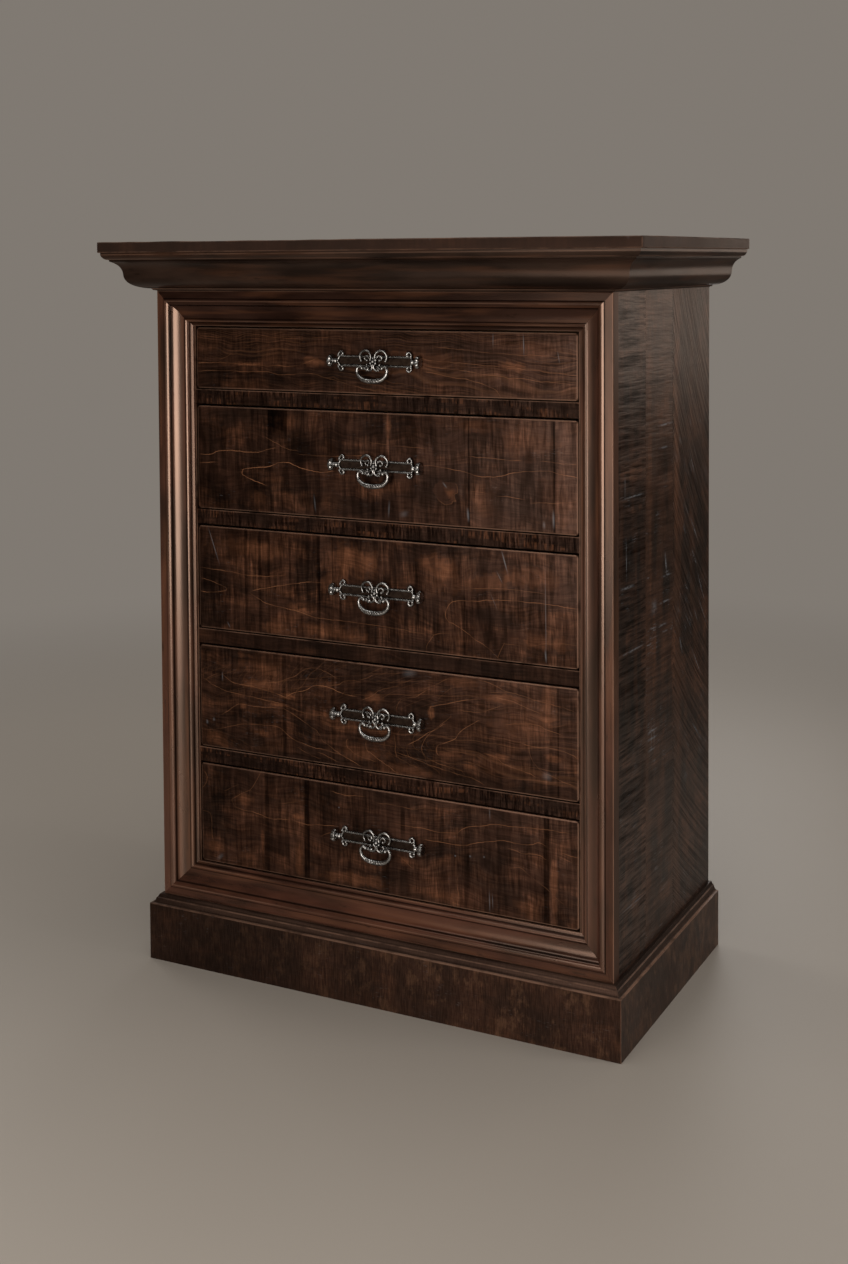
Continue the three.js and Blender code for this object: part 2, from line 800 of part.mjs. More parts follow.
// The drawers, each a group with its boards and its pull
openings.forEach(({ name, top, bottom }) => {
  const drawer = new THREE.Group();
  drawer.name = `drawer_${name}`;
  highboy.add(drawer);
  const frontBottom = bottom + bottomGap;
  const frontTop = top - topGap;
  const boxTop = frontTop - sideDrop;
  const pullHeight = (frontBottom + frontTop) / 2 + pullLift;
  add(`drawer_${name}_front`, drawerFront(frontBottom, frontTop, boxTop, pullHeight), frontWood, drawer);
  sides.forEach(({ side, sign }) => {
    add(`drawer_${name}_side_${side}`, drawerSide(sign, frontBottom, boxTop), innerWood, drawer);
  });
  add(`drawer_${name}_back`, drawerBack(frontBottom, boxTop), innerWood, drawer);
  add(`drawer_${name}_bottom`, drawerBottom(frontBottom), innerWood, drawer);
  const plate = add(`pull_${name}_plate`, plateGeometry, darkIron, drawer);
  plate.position.set(0, faceFront, pullHeight);
  const bail = add(`pull_${name}_bail`, bailGeometry, darkIron, drawer);
  bail.position.set(0, faceFront - pivotDepth, pullHeight - pivotDrop);
});

export default highboy;
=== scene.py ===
# Looks of the five-drawer highboy in dark stained rustic maple, with cast bail pulls.
# Metres, +Z up, front towards -Y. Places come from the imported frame.
import json
import math

import bmesh
import bpy
from mathutils import Matrix, Vector, noise


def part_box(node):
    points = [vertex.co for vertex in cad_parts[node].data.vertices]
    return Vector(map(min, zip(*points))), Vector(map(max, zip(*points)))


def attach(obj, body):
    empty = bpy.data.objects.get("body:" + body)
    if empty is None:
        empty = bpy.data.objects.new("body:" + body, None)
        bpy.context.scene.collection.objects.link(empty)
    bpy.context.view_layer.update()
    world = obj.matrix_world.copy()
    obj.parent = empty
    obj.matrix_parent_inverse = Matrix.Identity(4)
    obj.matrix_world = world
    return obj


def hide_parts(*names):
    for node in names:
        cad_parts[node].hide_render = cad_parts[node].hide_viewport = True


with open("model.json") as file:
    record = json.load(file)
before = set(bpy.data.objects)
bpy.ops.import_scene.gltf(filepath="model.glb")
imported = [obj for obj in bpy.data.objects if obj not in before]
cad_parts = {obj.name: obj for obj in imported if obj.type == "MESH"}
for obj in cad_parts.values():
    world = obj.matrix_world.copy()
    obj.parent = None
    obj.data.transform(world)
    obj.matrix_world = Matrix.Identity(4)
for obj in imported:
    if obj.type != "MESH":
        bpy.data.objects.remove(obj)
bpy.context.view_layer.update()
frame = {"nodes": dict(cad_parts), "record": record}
cad_nodes = frame["nodes"]

LEFT_RIGHT = (("left", -1), ("right", 1))
SIGNS = (-1, 1)
DRAWERS = range(1, 6)
X, Y, Z = 0, 1, 2
MM = 0.001

# The middle of each pull is this far above the pins of its bail
PIVOT_DROP = 0.012
PIVOTS = {
    joint["child"]: Vector(
        joint["pos_m"]
    ) for joint in frame["record"]["behaviour"]["joints"] if "pos_m" in joint
}
PULL_HEIGHTS = {number: PIVOTS[f"bail_{number}"].z + PIVOT_DROP for number in DRAWERS}

# The body of the case: half its width, its back, and the face of the boards behind the frame moulding
BASE_LOW, BASE_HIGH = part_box("base_board")
STILE_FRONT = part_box("stile_left")[0][Y]
BODY_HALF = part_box("side_panel_right")[1][X]
BODY_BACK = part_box("side_panel_right")[1][Y]
BODY_FRONT = STILE_FRONT - (BASE_HIGH[Y] - BASE_LOW[Y])
PLINTH_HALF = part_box("plinth_right")[1][X]

# Camera, fitted to the straight edges of the chest in the photograph (848 by 1264 pixels)
PHOTO_HEIGHT = 1264
SENSOR_HEIGHT = 36.0
FOCAL_PIXELS = 1663.9
CAMERA_PLACE = Vector((1.4769, -2.8963, 1.3818))
CAMERA_YAW = math.radians(-27.06)
CAMERA_PITCH = math.radians(2.5)
CAMERA_ROLL = math.radians(0.34)
CAMERA_SHIFT = (-0.00055, -0.2361)


def make_camera():
    ahead = Vector((
        math.sin(CAMERA_YAW) * math.cos(CAMERA_PITCH),
        math.cos(CAMERA_YAW) * math.cos(CAMERA_PITCH),
        -math.sin(CAMERA_PITCH),
    ))
    level = Vector((math.cos(CAMERA_YAW), -math.sin(CAMERA_YAW), 0))
    down = ahead.cross(level)
    right = math.cos(CAMERA_ROLL) * level + math.sin(CAMERA_ROLL) * down
    up = math.sin(CAMERA_ROLL) * level - math.cos(CAMERA_ROLL) * down
    camera = bpy.data.objects.new("camera", bpy.data.cameras.new("camera"))
    camera.matrix_world = Matrix.Translation(CAMERA_PLACE) @ Matrix(
        (right, up, -ahead)
    ).transposed().to_4x4()
    camera.data.sensor_width = SENSOR_HEIGHT
    camera.data.lens = FOCAL_PIXELS * SENSOR_HEIGHT / PHOTO_HEIGHT
    camera.data.shift_x, camera.data.shift_y = CAMERA_SHIFT
    bpy.context.collection.objects.link(camera)
    bpy.context.scene.camera = camera


# Stage: a pale floor that fades into an even background, and soft lamps
FLOOR_RADIUS = 14.0
FADE_START, FADE_END = 1.3, 3.8
MOTTLE_SIZES = (0.5, 0.5, 0.5)
FLOOR_COLOUR = (0.33, 0.30, 0.265, 1)
BACKGROUND = (0.215, 0.192, 0.168, 1)
REFLECTED = (0.080, 0.064, 0.052, 1)
FILL_LIGHT = (0.060, 0.054, 0.048, 1)
LAMPS = {
    # name: place, aim, width, height, power, colour
    "front": ((0.45, -2.85, 0.85), (0.0, -0.25, 0.85), 2.4, 1.3, 54, (1.0, 0.91, 0.83)),
    "right": ((2.7, 0.1, 1.5), (0.475, 0.05, 0.8), 1.2, 1.6, 25, (1.0, 0.96, 0.92)),
    "rear_right": ((1.33, 2.5, 1.6), (0.6, 0.0, 1.45), 0.9, 1.3, 4.6, (1.0, 0.80, 0.66)),
    "rear": ((-0.7, 3.3, 1.5), (0.0, 0.3, 0.8), 1.6, 1.2, 16, (1.0, 0.96, 0.92)),
    "overhead": ((0.0, -0.4, 3.4), (0, 0, 0.8), 2.6, 2.6, 52, (1.0, 0.97, 0.93)),
    "left": ((-3.0, 0.9, 2.0), (-0.4, 0.0, 0.8), 1.2, 1.2, 16, (1.0, 0.95, 0.9)),
}


class Value:
    """A number or colour that a node tree works out. Sums with it add their nodes to that tree."""

    def __init__(self, work, socket):
        self.work = work
        self.socket = socket

    def __abs__(self):
        return self.work.math("ABSOLUTE", self)


def reckoned(operation):
    """An operation of a value with what stands right of it, and with what stands left of it."""
    return (
        lambda value, other: value.work.math(operation, value, other),
        lambda value, other: value.work.math(operation, other, value),
    )


Value.__add__, Value.__radd__ = reckoned("ADD")
Value.__sub__, Value.__rsub__ = reckoned("SUBTRACT")
Value.__mul__, Value.__rmul__ = reckoned("MULTIPLY")
Value.__truediv__, Value.__rtruediv__ = reckoned("DIVIDE")


class NodeWork:
    """A node tree. Each method adds its nodes and gives back the value that they work out."""

    def __init__(self, tree):
        self.nodes = tree.nodes
        self.links = tree.links

    def add(self, kind, inputs=None, **settings):
        node = self.nodes.new(kind)
        for setting, value in settings.items():
            setattr(node, setting, value)
        for socket, value in (inputs or {}).items():
            self.put(node.inputs[socket], value)
        return node

    def put(self, socket, value):
        if isinstance(value, Value):
            value = value.socket
        if isinstance(value, bpy.types.NodeSocket):
            self.links.new(value, socket)
        else:
            socket.default_value = value

    def result(self, kind, inputs=None, output=0, **settings):
        """Adds a node and gives back one of its outputs."""
        return Value(self, self.add(kind, inputs, **settings).outputs[output])

    def math(self, operation, *values):
        return self.result("ShaderNodeMath", dict(enumerate(values)), operation=operation)

    def least(self, first, second):
        return self.math("MINIMUM", first, second)

    def most(self, first, second):
        return self.math("MAXIMUM", first, second)

    def parts(self, vector):
        return [Value(self, part) for part in self.add("ShaderNodeSeparateXYZ", {0: vector}).outputs]

    def vector(self, x, y, z):
        return self.result("ShaderNodeCombineXYZ", {0: x, 1: y, 2: z})

    def noise(self, vector, sizes, detail=2.0, roughness=0.5):
        """Clouds from 0 to 1, about as large as the sizes along the three parts."""
        scaled = self.result("ShaderNodeVectorMath", {0: vector, 1: sizes}, operation="DIVIDE")
        inputs = {"Vector": scaled, "Scale": 1.0, "Detail": detail, "Roughness": roughness}
        return self.result("ShaderNodeTexNoise", inputs)

    def rise(self, value, low, high):
        """0 below low, 1 above high and a smooth rise between them."""
        inputs = {"Value": value, "From Min": low, "From Max": high}
        return self.result("ShaderNodeMapRange", inputs, interpolation_type="SMOOTHSTEP")

    def near(self, value, place, reach):
        """1 at a place, falling to 0 at a reach from it."""
        away = abs(value - place)
        return 1 - self.rise(away, 0.0, reach)

    def contour(self, value, spacing, width):
        """Thin lines of a width wherever a value reaches the next multiple of a spacing."""
        phase = self.math("FRACT", value * (1 / spacing))
        from_line = 0.5 - abs(phase - 0.5)
        return 1 - self.rise(from_line, 0.0, width / spacing)

    def curve(self, value, stops):
        """A smooth curve through stops of two numbers, from 0 at its lowest to 1 at its highest stop."""
        low, high = min(stops)[0], max(stops)[0]
        bottom, top = min(stop[1] for stop in stops) - MM, max(stop[1] for stop in stops) + MM
        share = self.result("ShaderNodeMapRange", {"Value": value, "From Min": low, "From Max": high})
        node = self.add("ShaderNodeFloatCurve", {"Value": share})
        line = node.mapping.curves[0]
        for index, (first, second) in enumerate(sorted(stops)):
            place = ((first - low) / (high - low), (second - bottom) / (top - bottom))
            if index < 2:
                line.points[index].location = place
            else:
                line.points.new(*place)
        node.mapping.update()
        return Value(self, node.outputs[0]), bottom, top

    def shared(self, work, **inputs):
        """Runs a work function as a node group, which is made once for all its uses."""
        name = work.__name__
        if name not in bpy.data.node_groups:
            tree = bpy.data.node_groups.new(name, "ShaderNodeTree")
            for key in inputs:
                tree.interface.new_socket(key, in_out="INPUT", socket_type="NodeSocketFloat")
            tree.interface.new_socket("result", in_out="OUTPUT", socket_type="NodeSocketFloat")
            group = NodeWork(tree)
            sockets = group.add("NodeGroupInput").outputs
            result = work(group, **{key: Value(group, sockets[key]) for key in inputs})
            group.put(group.add("NodeGroupOutput").inputs[0], result)
        node = self.add("ShaderNodeGroup", node_tree=bpy.data.node_groups[name])
        for key, value in inputs.items():
            self.put(node.inputs[key], value)
        return Value(self, node.outputs[0])

    def distance(self, first, second):
        return self.math("SQRT", first * first + second * second)

    def mixed(self, share, first, second):
        """A colour between two others."""
        return self.result("ShaderNodeMix", {0: share, 6: first, 7: second}, 2, data_type="RGBA")

    def between(self, share, first, second):
        """A number between two others."""
        inputs = {"Value": share, "To Min": first, "To Max": second}
        return self.result("ShaderNodeMapRange", inputs, clamp=False)

    def shaded(self, colour, amount):
        """A colour made darker or lighter by a number."""
        return self.result("ShaderNodeVectorMath", {0: colour, 3: amount}, operation="SCALE")


class Finish(NodeWork):
    """One node material."""

    def __init__(self, name):
        self.material = bpy.data.materials.new(name)
        self.material.use_nodes = True
        super().__init__(self.material.node_tree)
        self.surface = self.nodes["Principled BSDF"]
        self.place = self.add("ShaderNodeTexCoord").outputs["Object"]

    def bumped(self, height, distance):
        inputs = {"Height": height, "Distance": distance, "Strength": 1.0}
        self.put(self.surface.inputs["Normal"], self.result("ShaderNodeBump", inputs))


# Colours of the stained wood
BLACK_BROWN = (0.0056, 0.0029, 0.0019, 1)
MID_BROWN = (0.0265, 0.0115, 0.0068, 1)
ORANGE_BROWN = (0.125, 0.050, 0.0240, 1)
RING_ORANGE = (0.250, 0.112, 0.054, 1)
# pink of worn edges and arrises, also used as a painted highlight where edges catch the light
WEAR_AND_HIGHLIGHT_PINK = (0.30, 0.175, 0.12, 1)
# pale grey of scuffs; on the side panels it also paints glints on the saw ridges
SCUFF_AND_GLINT_GREY = (0.155, 0.165, 0.18, 1)

# Sizes of the marks in stained maple: along the grain, across it and into the board
TONE_SIZES = (0.26, 0.15, 0.3)
CLOUD_SIZES = (0.085, 0.062, 0.1)
PATCH_SIZES = (0.105, 0.046, 0.1)
SWAY_SIZES = (0.16, 0.08, 0.2)
JITTER_SIZES = (0.028, 0.022, 0.03)
STREAK_SIZES = (0.085, 0.0058, 0.03)
COLUMN_SIZES = (0.026, 0.17, 1.0)
NARROW_SIZES = (0.0085, 0.12, 1.0)
TICK_SIZES = (0.0042, 0.040, 1.0)
FIBRE_SIZES = (0.034, 0.0026, 0.01)
PORE_SIZES = (0.0030, 0.0012, 0.01)
SHOWN_SIZES = (0.26, 0.060, 0.2)
WEAR_SIZES = (0.055, 0.055, 0.055)
GLOSS_SIZES = (0.10, 0.10, 0.10)
SCUFF_SIZES = (0.012, 0.0011, 0.03)
NEST_SIZES = (0.05, 1.0, 1.0)
LINE_DRIFT_SIZES = (0.035, 0.02, 0.1)
LINE_SHAKE = 0.006
LINE_WIDTH = 0.0011
EDGE_REACH = 0.003
FRONT_EDGE_REACH = 0.0036


def grain_places(finish, axes, shift):
    """Along the grain, across it and into the board."""
    parts = finish.parts(finish.place)
    return [parts[axis] + moved for axis, moved in zip(axes, shift)]


def edge_share(finish, box, reach):
    """1 along the edges of a box, falling to 0 at a reach from them. Flat faces elsewhere stay 0."""
    parts = finish.parts(finish.place)
    depths = []
    for axis in (X, Y, Z):
        middle = (box[0][axis] + box[1][axis]) / 2
        half = (box[1][axis] - box[0][axis]) / 2
        depths.append(half - abs(parts[axis] - middle))
    a, b, c = depths
    second = finish.most(finish.least(a, b), finish.least(finish.most(a, b), c))
    return 1 - finish.rise(second, 0.0, reach)


def maple(finish, axes, shift, look, clouded=None):
    """Stained maple: clouds of dark stain, warm figure, and saw marks across the grain.
    clouded, a function, lays more clouds under the fine marks.
    Gives its colour, the height of its surface, its place in the grain, how it sways and its marks' shade."""
    along, across, depth = grain_places(finish, axes, shift)
    spot = finish.vector(along, across, depth)
    sway = finish.noise(spot, SWAY_SIZES, 2.0) - 0.5
    jitter = finish.noise(spot, JITTER_SIZES, 2.0) - 0.5
    flowing = finish.vector(along, across + sway * 0.06, depth)

    tone = finish.noise(flowing, TONE_SIZES, 2.0)
    cloud = finish.noise(flowing, CLOUD_SIZES, 4.0, 0.6)
    patch = finish.noise(flowing, PATCH_SIZES, 4.0, 0.62)
    slanted = along + across * look.get("slant", 0.02)
    crossing = finish.vector(slanted, across, 0.0)
    columns = finish.noise(crossing, COLUMN_SIZES, 2.0, 0.6)
    narrow = finish.noise(crossing, NARROW_SIZES, 2.0, 0.6)
    ticks = finish.noise(crossing, TICK_SIZES, 2.0, 0.6)
    fibre = finish.noise(flowing, FIBRE_SIZES, 2.0, 0.6)
    pores = finish.noise(spot, PORE_SIZES, 1.0)

    stain = cloud * 0.60 + (tone * 0.30 + columns * 0.10)
    colour = finish.mixed(finish.rise(stain, 0.36, 0.64), BLACK_BROWN, MID_BROWN)
    glow = patch * 0.72 + (tone * 0.16 + narrow * 0.12)
    colour = finish.mixed(finish.rise(glow, 0.46, 0.80) * look["warmth"], colour, ORANGE_BROWN)
    if clouded:
        ragged = jitter * 1.2
        for marks, amount in ((patch, 3.2), (narrow, 1.6), (fibre, 1.1)):
            ragged = ragged + (marks - 0.5) * amount
        colour = clouded(colour, ragged)
    shade = finish.between(finish.rise(columns, 0.46, 0.53), 1.0 - look["columns"], 1.0 + look["columns"])
    shade = shade * finish.between(
        finish.rise(narrow, 0.34, 0.62), 1.0 - look["narrow"], 1.0 + look["narrow"]
    )
    shown = finish.rise(patch, 0.36, 0.60)
    ticked = (finish.rise(ticks, 0.38, 0.64) - 0.5) * shown
    shade = shade * (1.0 + ticked * (2.0 * look["ticks"]))
    shade = shade * finish.between(finish.rise(fibre, 0.3, 0.7), 0.84, 1.17)
    streak = finish.rise(finish.noise(flowing, STREAK_SIZES, 3.0, 0.6), 0.36, 0.64)
    shade = shade * finish.between(streak, 1.0 - look["streaks"], 1.0 + look["streaks"])
    colour = finish.shaded(colour, shade)

    height = fibre * 0.25 + ticks * look["ticks"]
    height = height + (pores * 0.15 + narrow * look["narrow"])
    return colour, height, spot, (sway, jitter), shade


def with_rings(finish, colour, place, wobble, hearts, strength):
    """Thin ring lines that nest round the hearts of the board, pointing left.
    A heart is a place along and across the grain, how narrow its noses are, and how far apart."""
    along, across = place
    sway, jitter = wobble
    spot = finish.vector(along, across, 0.0)
    for along_heart, across_heart, narrowness, slope, spacing in hearts:
        out = along - along_heart + (sway * 0.09 + jitter * 0.016)
        up = across - across_heart
        up = up + (out * slope + (sway * 0.050 + jitter * 0.006))
        nest = finish.distance(out, up * narrowness) - out
        uneven = nest + finish.noise(finish.vector(nest, 0.0, 0.0), NEST_SIZES, 2.0) * 0.05
        lines = finish.contour(uneven, spacing, LINE_WIDTH * narrowness * 0.55)
        seen = finish.rise(
            finish.noise(finish.vector(along, across, spacing), SHOWN_SIZES, 2.0), 0.42, 0.60
        )
        colour = finish.mixed(lines * seen * strength, colour, RING_ORANGE)
    return colour


def scuffed(finish, colour, spot, amount):
    """Short pale scuffs."""
    dashes = finish.rise(finish.noise(spot, SCUFF_SIZES, 1.0), 0.66, 0.78)
    patches = finish.rise(finish.noise(spot, WEAR_SIZES, 2.0), 0.52, 0.66)
    return finish.mixed(dashes * patches * amount, colour, SCUFF_AND_GLINT_GREY)


# How deep the surface's relief is, in metres
FRONT_BUMP = 0.00025
RAIL_BUMP = 0.0004
SAWN_BUMP = 0.0005
PLAIN_BUMP = 0.0003
INNER_BUMP = 0.0002
CAST_BUMP = 0.000004

# Colours of the lacquer's glints
WARM_GLOSS = (1.0, 0.60, 0.46, 1)
NEUTRAL_GLOSS = (1.0, 0.84, 0.74, 1)


def lacquered(finish, colour, roughness, height, bump, gloss=0.25, tint=WARM_GLOSS, index=1.5):
    finish.put(finish.surface.inputs["Base Color"], colour)
    finish.put(finish.surface.inputs["Roughness"], roughness)
    finish.put(finish.surface.inputs["Specular IOR Level"], gloss)
    finish.surface.inputs["Specular Tint"].default_value = tint
    finish.surface.inputs["IOR"].default_value = index
    finish.bumped(height, bump)
    return finish.material


def shift_of(name):
    """Each board's own place in the grain."""
    return [(sum(map(ord, name)) * factor) % 7.0 for factor in (0.37, 0.53, 0.71)]


# What each drawer front shows. Places are in millimetres from the middle of its pull, across and up.
FRONT_LOOKS = {
    1: {"columns": 0.06, "narrow": 0.1, "ticks": 0.24, "streaks": 0.30, "warmth": 0.5},
    2: {"columns": 0.22, "narrow": 0.2, "ticks": 0.3, "streaks": 0.14, "warmth": 0.6},
    3: {"columns": 0.22, "narrow": 0.22, "ticks": 0.32, "streaks": 0.14, "warmth": 0.65},
    4: {"columns": 0.1, "narrow": 0.12, "ticks": 0.24, "streaks": 0.26, "warmth": 0.7},
    5: {"columns": 0.15, "narrow": 0.15, "ticks": 0.3, "streaks": 0.18, "warmth": 0.5},
}
RING_LINES = {
    # strength, then the places that the line runs through
    1: (
        (0.6, -395, -12, -350, -10, -300, -12, -260, -13, -220, -14, -170, -13), (0.6, -345, -3, -332, 1,
        -318, 9), (0.4, -395, -28, -370, -26, -300, -26, -240, -26, -200, -30, -150, -27, -110, -33, -80,
        -40, -20, -52, 40, -57), (0.5, -160, -8, -145, -4, -130, 2), (0.5, 60, 12, 120, 4, 180, 0, 250, -4,
        300, -8, 400, -17), (0.5, 60, -5, 120, -8, 180, -13, 250, -22, 330, -28, 395, -33), (0.5, 100, -18,
        150, -24, 200, -32, 235, -42), (0.5, 233, -41, 246, -50, 251, -58), (0.4, 120, 30, 200, 22, 280, 18,
        360, 16, 400, 12), (0.3, -395, 45, -330, 40, -270, 46, -200, 40, -100, 44), (0.4, 262, 0, 275, -3,
        285, 3),
    ),
    2: (
        (0.8, -393, 4, -370, 5, -350, 12, -300, 14, -270, 13, -240, 19, -222, 23), (0.4, -245, 44, -220, 32,
        -190, 22, -172, 21), (0.45, -168, 16, -120, 13, -60, 17, -10, 20), (0.7, -393, -14, -375, -11, -355,
        -10), (0.9, -289, -20, -297, -26.5, -289, -34), (1, -294, -22, -285, -19, -262, -16, -240, -14,
        -225, -10, -210, -4, -198, -3, -180, -7, -160, -13, -140, -16, -120, -17, -95, -14), (0.8, -292,
        -32, -285, -36, -265, -43, -242, -49), (0.75, 100, 6, 130, 5, 160, 1, 190, -4, 220, -8, 250, -5,
        280, 3, 310, 7, 340, 8, 360, 5, 400, -1), (0.4, 190, 27, 240, 25, 290, 24), (0.3, 330, 25, 400, 23),
        (0.6, 192, -36, 220, -37), (0.5, 246, -41, 270, -42, 295, -44), (0.4, 310, -49, 350, -48, 400, -42),
        (0.35, -20, 45, 30, 40, 100, 38),
    ),
    3: (
        (0.6, -395, 16, -350, 14, -310, 12, -270, 9, -230, 13, -205, 16), (0.6, -395, -6, -370, -10, -355,
        -14, -341, -18), (0.6, -343, -18.5, -336, -22, -343, -26.5), (0.6, -341, -26, -355, -29, -380, -31,
        -395, -31), (0.7, -278, -22, -268, -18, -250, -14, -235, -10, -215, -6, -190, 0, -160, 5, -120, 9),
        (0.7, -282, -24.5, -272, -30, -262, -34, -240, -42, -215, -46, -180, -50, -150, -56, -120, -60),
        (0.4, -120, -60, -60, -61, 0, -62, 60, -66, 95, -68), (0.7, 150, -8, 158, -3, 175, 0, 200, 1, 230,
        6, 260, 8, 330, 8, 400, 5), (0.7, 155, -4, 145, -15, 141, -30, 146, -40, 153, -44), (0.65, 148, -41,
        170, -50, 195, -64, 220, -77, 235, -88, 247, -98), (0.4, 165, 20, 200, 24, 240, 27, 300, 28, 340,
        26), (0.5, 100, -98, 103, -88, 110, -78, 117, -68), (0.4, 117, -68, 130, -64, 150, -62), (0.4, 245,
        -98, 250, -85, 258, -70), (0.35, 258, -70, 300, -70, 340, -62, 395, -59),
    ),
    4: (
        (0.5, -387, 31, -372, 23, -355, 16, -335, 12, -300, 9, -270, 7, -240, 4, -215, 2), (0.3, -387, 31,
        -375, 38, -355, 47), (0.7, -348, 47, -338, 38, -325, 31, -300, 29, -270, 27, -240, 22, -220, 19,
        -205, 15), (0.9, -202, 16, -195, 21, -180, 28, -165, 32, -150, 39, -138, 46, -125, 47, -105, 45,
        -80, 38, -50, 35), (0.45, -240, 40, -220, 44, -200, 52, -180, 60, -165, 71, -150, 77, -135, 79,
        -120, 77, -100, 70, -90, 66), (0.5, -100, 50, -85, 54, -70, 62, -55, 64, -40, 64), (0.5, -35, 69,
        -20, 75, -10, 80, 10, 83), (0.5, -35, 30, -20, 37, -10, 43, 0, 52), (0.5, -350, -35, -335, -26,
        -320, -15, -305, -9, -280, -10, -250, -9, -220, -7, -205, -8, -190, -14, -170, -23, -150, -32, -137,
        -40, -128, -48), (0.6, -128, -48, -122, -58, -105, -68, -85, -78, -60, -88, -40, -96), (0.4, -210,
        0, -190, -3, -170, -9, -140, -12, -125, -10), (0.55, -310, -51, -290, -47, -260, -45, -230, -44,
        -215, -47, -200, -57, -185, -64, -160, -70, -130, -74, -75, -80), (0.35, -390, -70, -360, -65, -330,
        -56, -310, -51), (0.5, -130, -81, -110, -87, -90, -94), (0.4, -175, -79, -155, -87, -130, -93),
        (0.5, -62, -48, -70, -52, -70, -60, -62, -68), (0.5, -64, -67, -50, -74, -30, -80, -10, -84), (0.6,
        -26, -47, -27, -56, -22, -67), (0.6, -23, -65, -10, -74, 5, -81, 20, -89, 35, -97), (0.45, 34, -28,
        35, -45, 37, -68), (0.45, 37, -68, 60, -78, 90, -85), (0.8, 62, -42, 75, -35, 90, -25, 105, -14,
        120, -6, 135, 5), (0.5, 62, -42, 60, -55, 66, -66), (0.45, 40, -60, 80, -68, 120, -76, 160, -84,
        190, -87, 215, -96), (0.5, 150, 20, 128, 2, 108, -15, 95, -32, 90, -48, 95, -56, 103, -62), (0.5,
        100, -60, 120, -68, 150, -73, 180, -77), (0.8, 205, 20, 190, 10, 175, 0, 165, -10, 160, -18, 145,
        -26, 130, -32), (0.7, 130, -32, 121, -43, 122, -50, 130, -56), (0.7, 108, 33, 115, 36, 130, 40, 150,
        46, 170, 52, 190, 56, 205, 59), (0.6, 112, 36, 108, 31, 109, 20, 111, 12), (0.4, 38, 22, 42, 32, 48,
        40), (0.5, 48, 41, 65, 47, 80, 50, 90, 57, 100, 63), (0.3, 0, 50, 15, 57, 40, 63), (0.35, 43, 70,
        55, 73, 70, 80), (0.3, 100, 68, 120, 76, 135, 85, 150, 92), (0.35, 125, 50, 135, 60, 150, 72), (0.5,
        170, 101, 200, 96, 230, 91, 250, 84, 260, 79), (0.55, 240, 66, 270, 63, 290, 58, 310, 52, 325, 48),
        (0.45, 260, 20, 280, 24, 310, 26, 340, 20, 370, 14), (0.4, 170, 35, 190, 34, 210, 36, 230, 44, 250,
        52), (0.4, 230, 75, 270, 78, 320, 70, 360, 65, 390, 58), (0.55, 290, -10, 320, -14, 350, -12, 380,
        -17, 400, -24), (0.5, 218, -38, 235, -42, 260, -54, 280, -58, 300, -62, 320, -68), (0.4, 180, -58,
        200, -60, 220, -66), (0.45, 305, -18, 308, -32, 318, -46, 335, -58), (0.4, 335, -58, 360, -66, 390,
        -75),
    ),
    5: (
        (0.7, -400, 86, -390, 76, -386.5, 66, -391, 54, -401, 45), (0.35, -402, -4, -395, -1, -385, -2,
        -379, -8), (0.35, -380, -6, -377, -20, -378, -35, -376, -48, -368, -58), (0.4, -262, 95, -270, 80,
        -277, 68, -287, 56), (0.45, -287, 56, -300, 50, -315, 41, -325, 34), (0.45, -322, 36, -329, 31,
        -326, 23, -318, 18), (0.65, -320, 18, -300, 15, -280, 14, -262, 11, -240, 7.5, -220, 8.5, -200, 10),
        (0.55, -180, 9, -155, 8, -135, 11, -115, 13, -90, 14), (0.3, -345, 46, -335, 52, -315, 62), (0.35,
        -220, 40, -195, 45, -175, 50, -165, 53), (0.4, -125, -9, -115, -4, -105, 0), (0.5, -100, 80, -70,
        77, -50, 78, -30, 80), (0.4, 0, 72, 30, 72, 60, 71, 100, 77, 150, 83, 180, 86), (0.6, 30, 38, 60,
        37, 90, 38, 120, 36, 140, 37, 160, 40), (0.6, 165, 42, 175, 50, 190, 56, 210, 60, 240, 67, 280, 69,
        330, 72, 380, 73), (0.7, 100, 18, 130, 18, 160, 18, 178, 19, 190, 24, 210, 30, 235, 36, 260, 40,
        290, 38, 310, 41, 325, 46, 335, 44), (0.6, 265, 28, 280, 26, 295, 23, 315, 25, 335, 19), (0.5, 363,
        36, 380, 33, 400, 32), (0.4, 360, 28, 385, 22), (0.35, 270, -8, 285, -4, 300, -12, 330, -30, 370,
        -55), (0.4, 40, -22, 50, -28, 70, -40), (0.6, 162, -45, 163, -70, 162, -95),
    ),
}
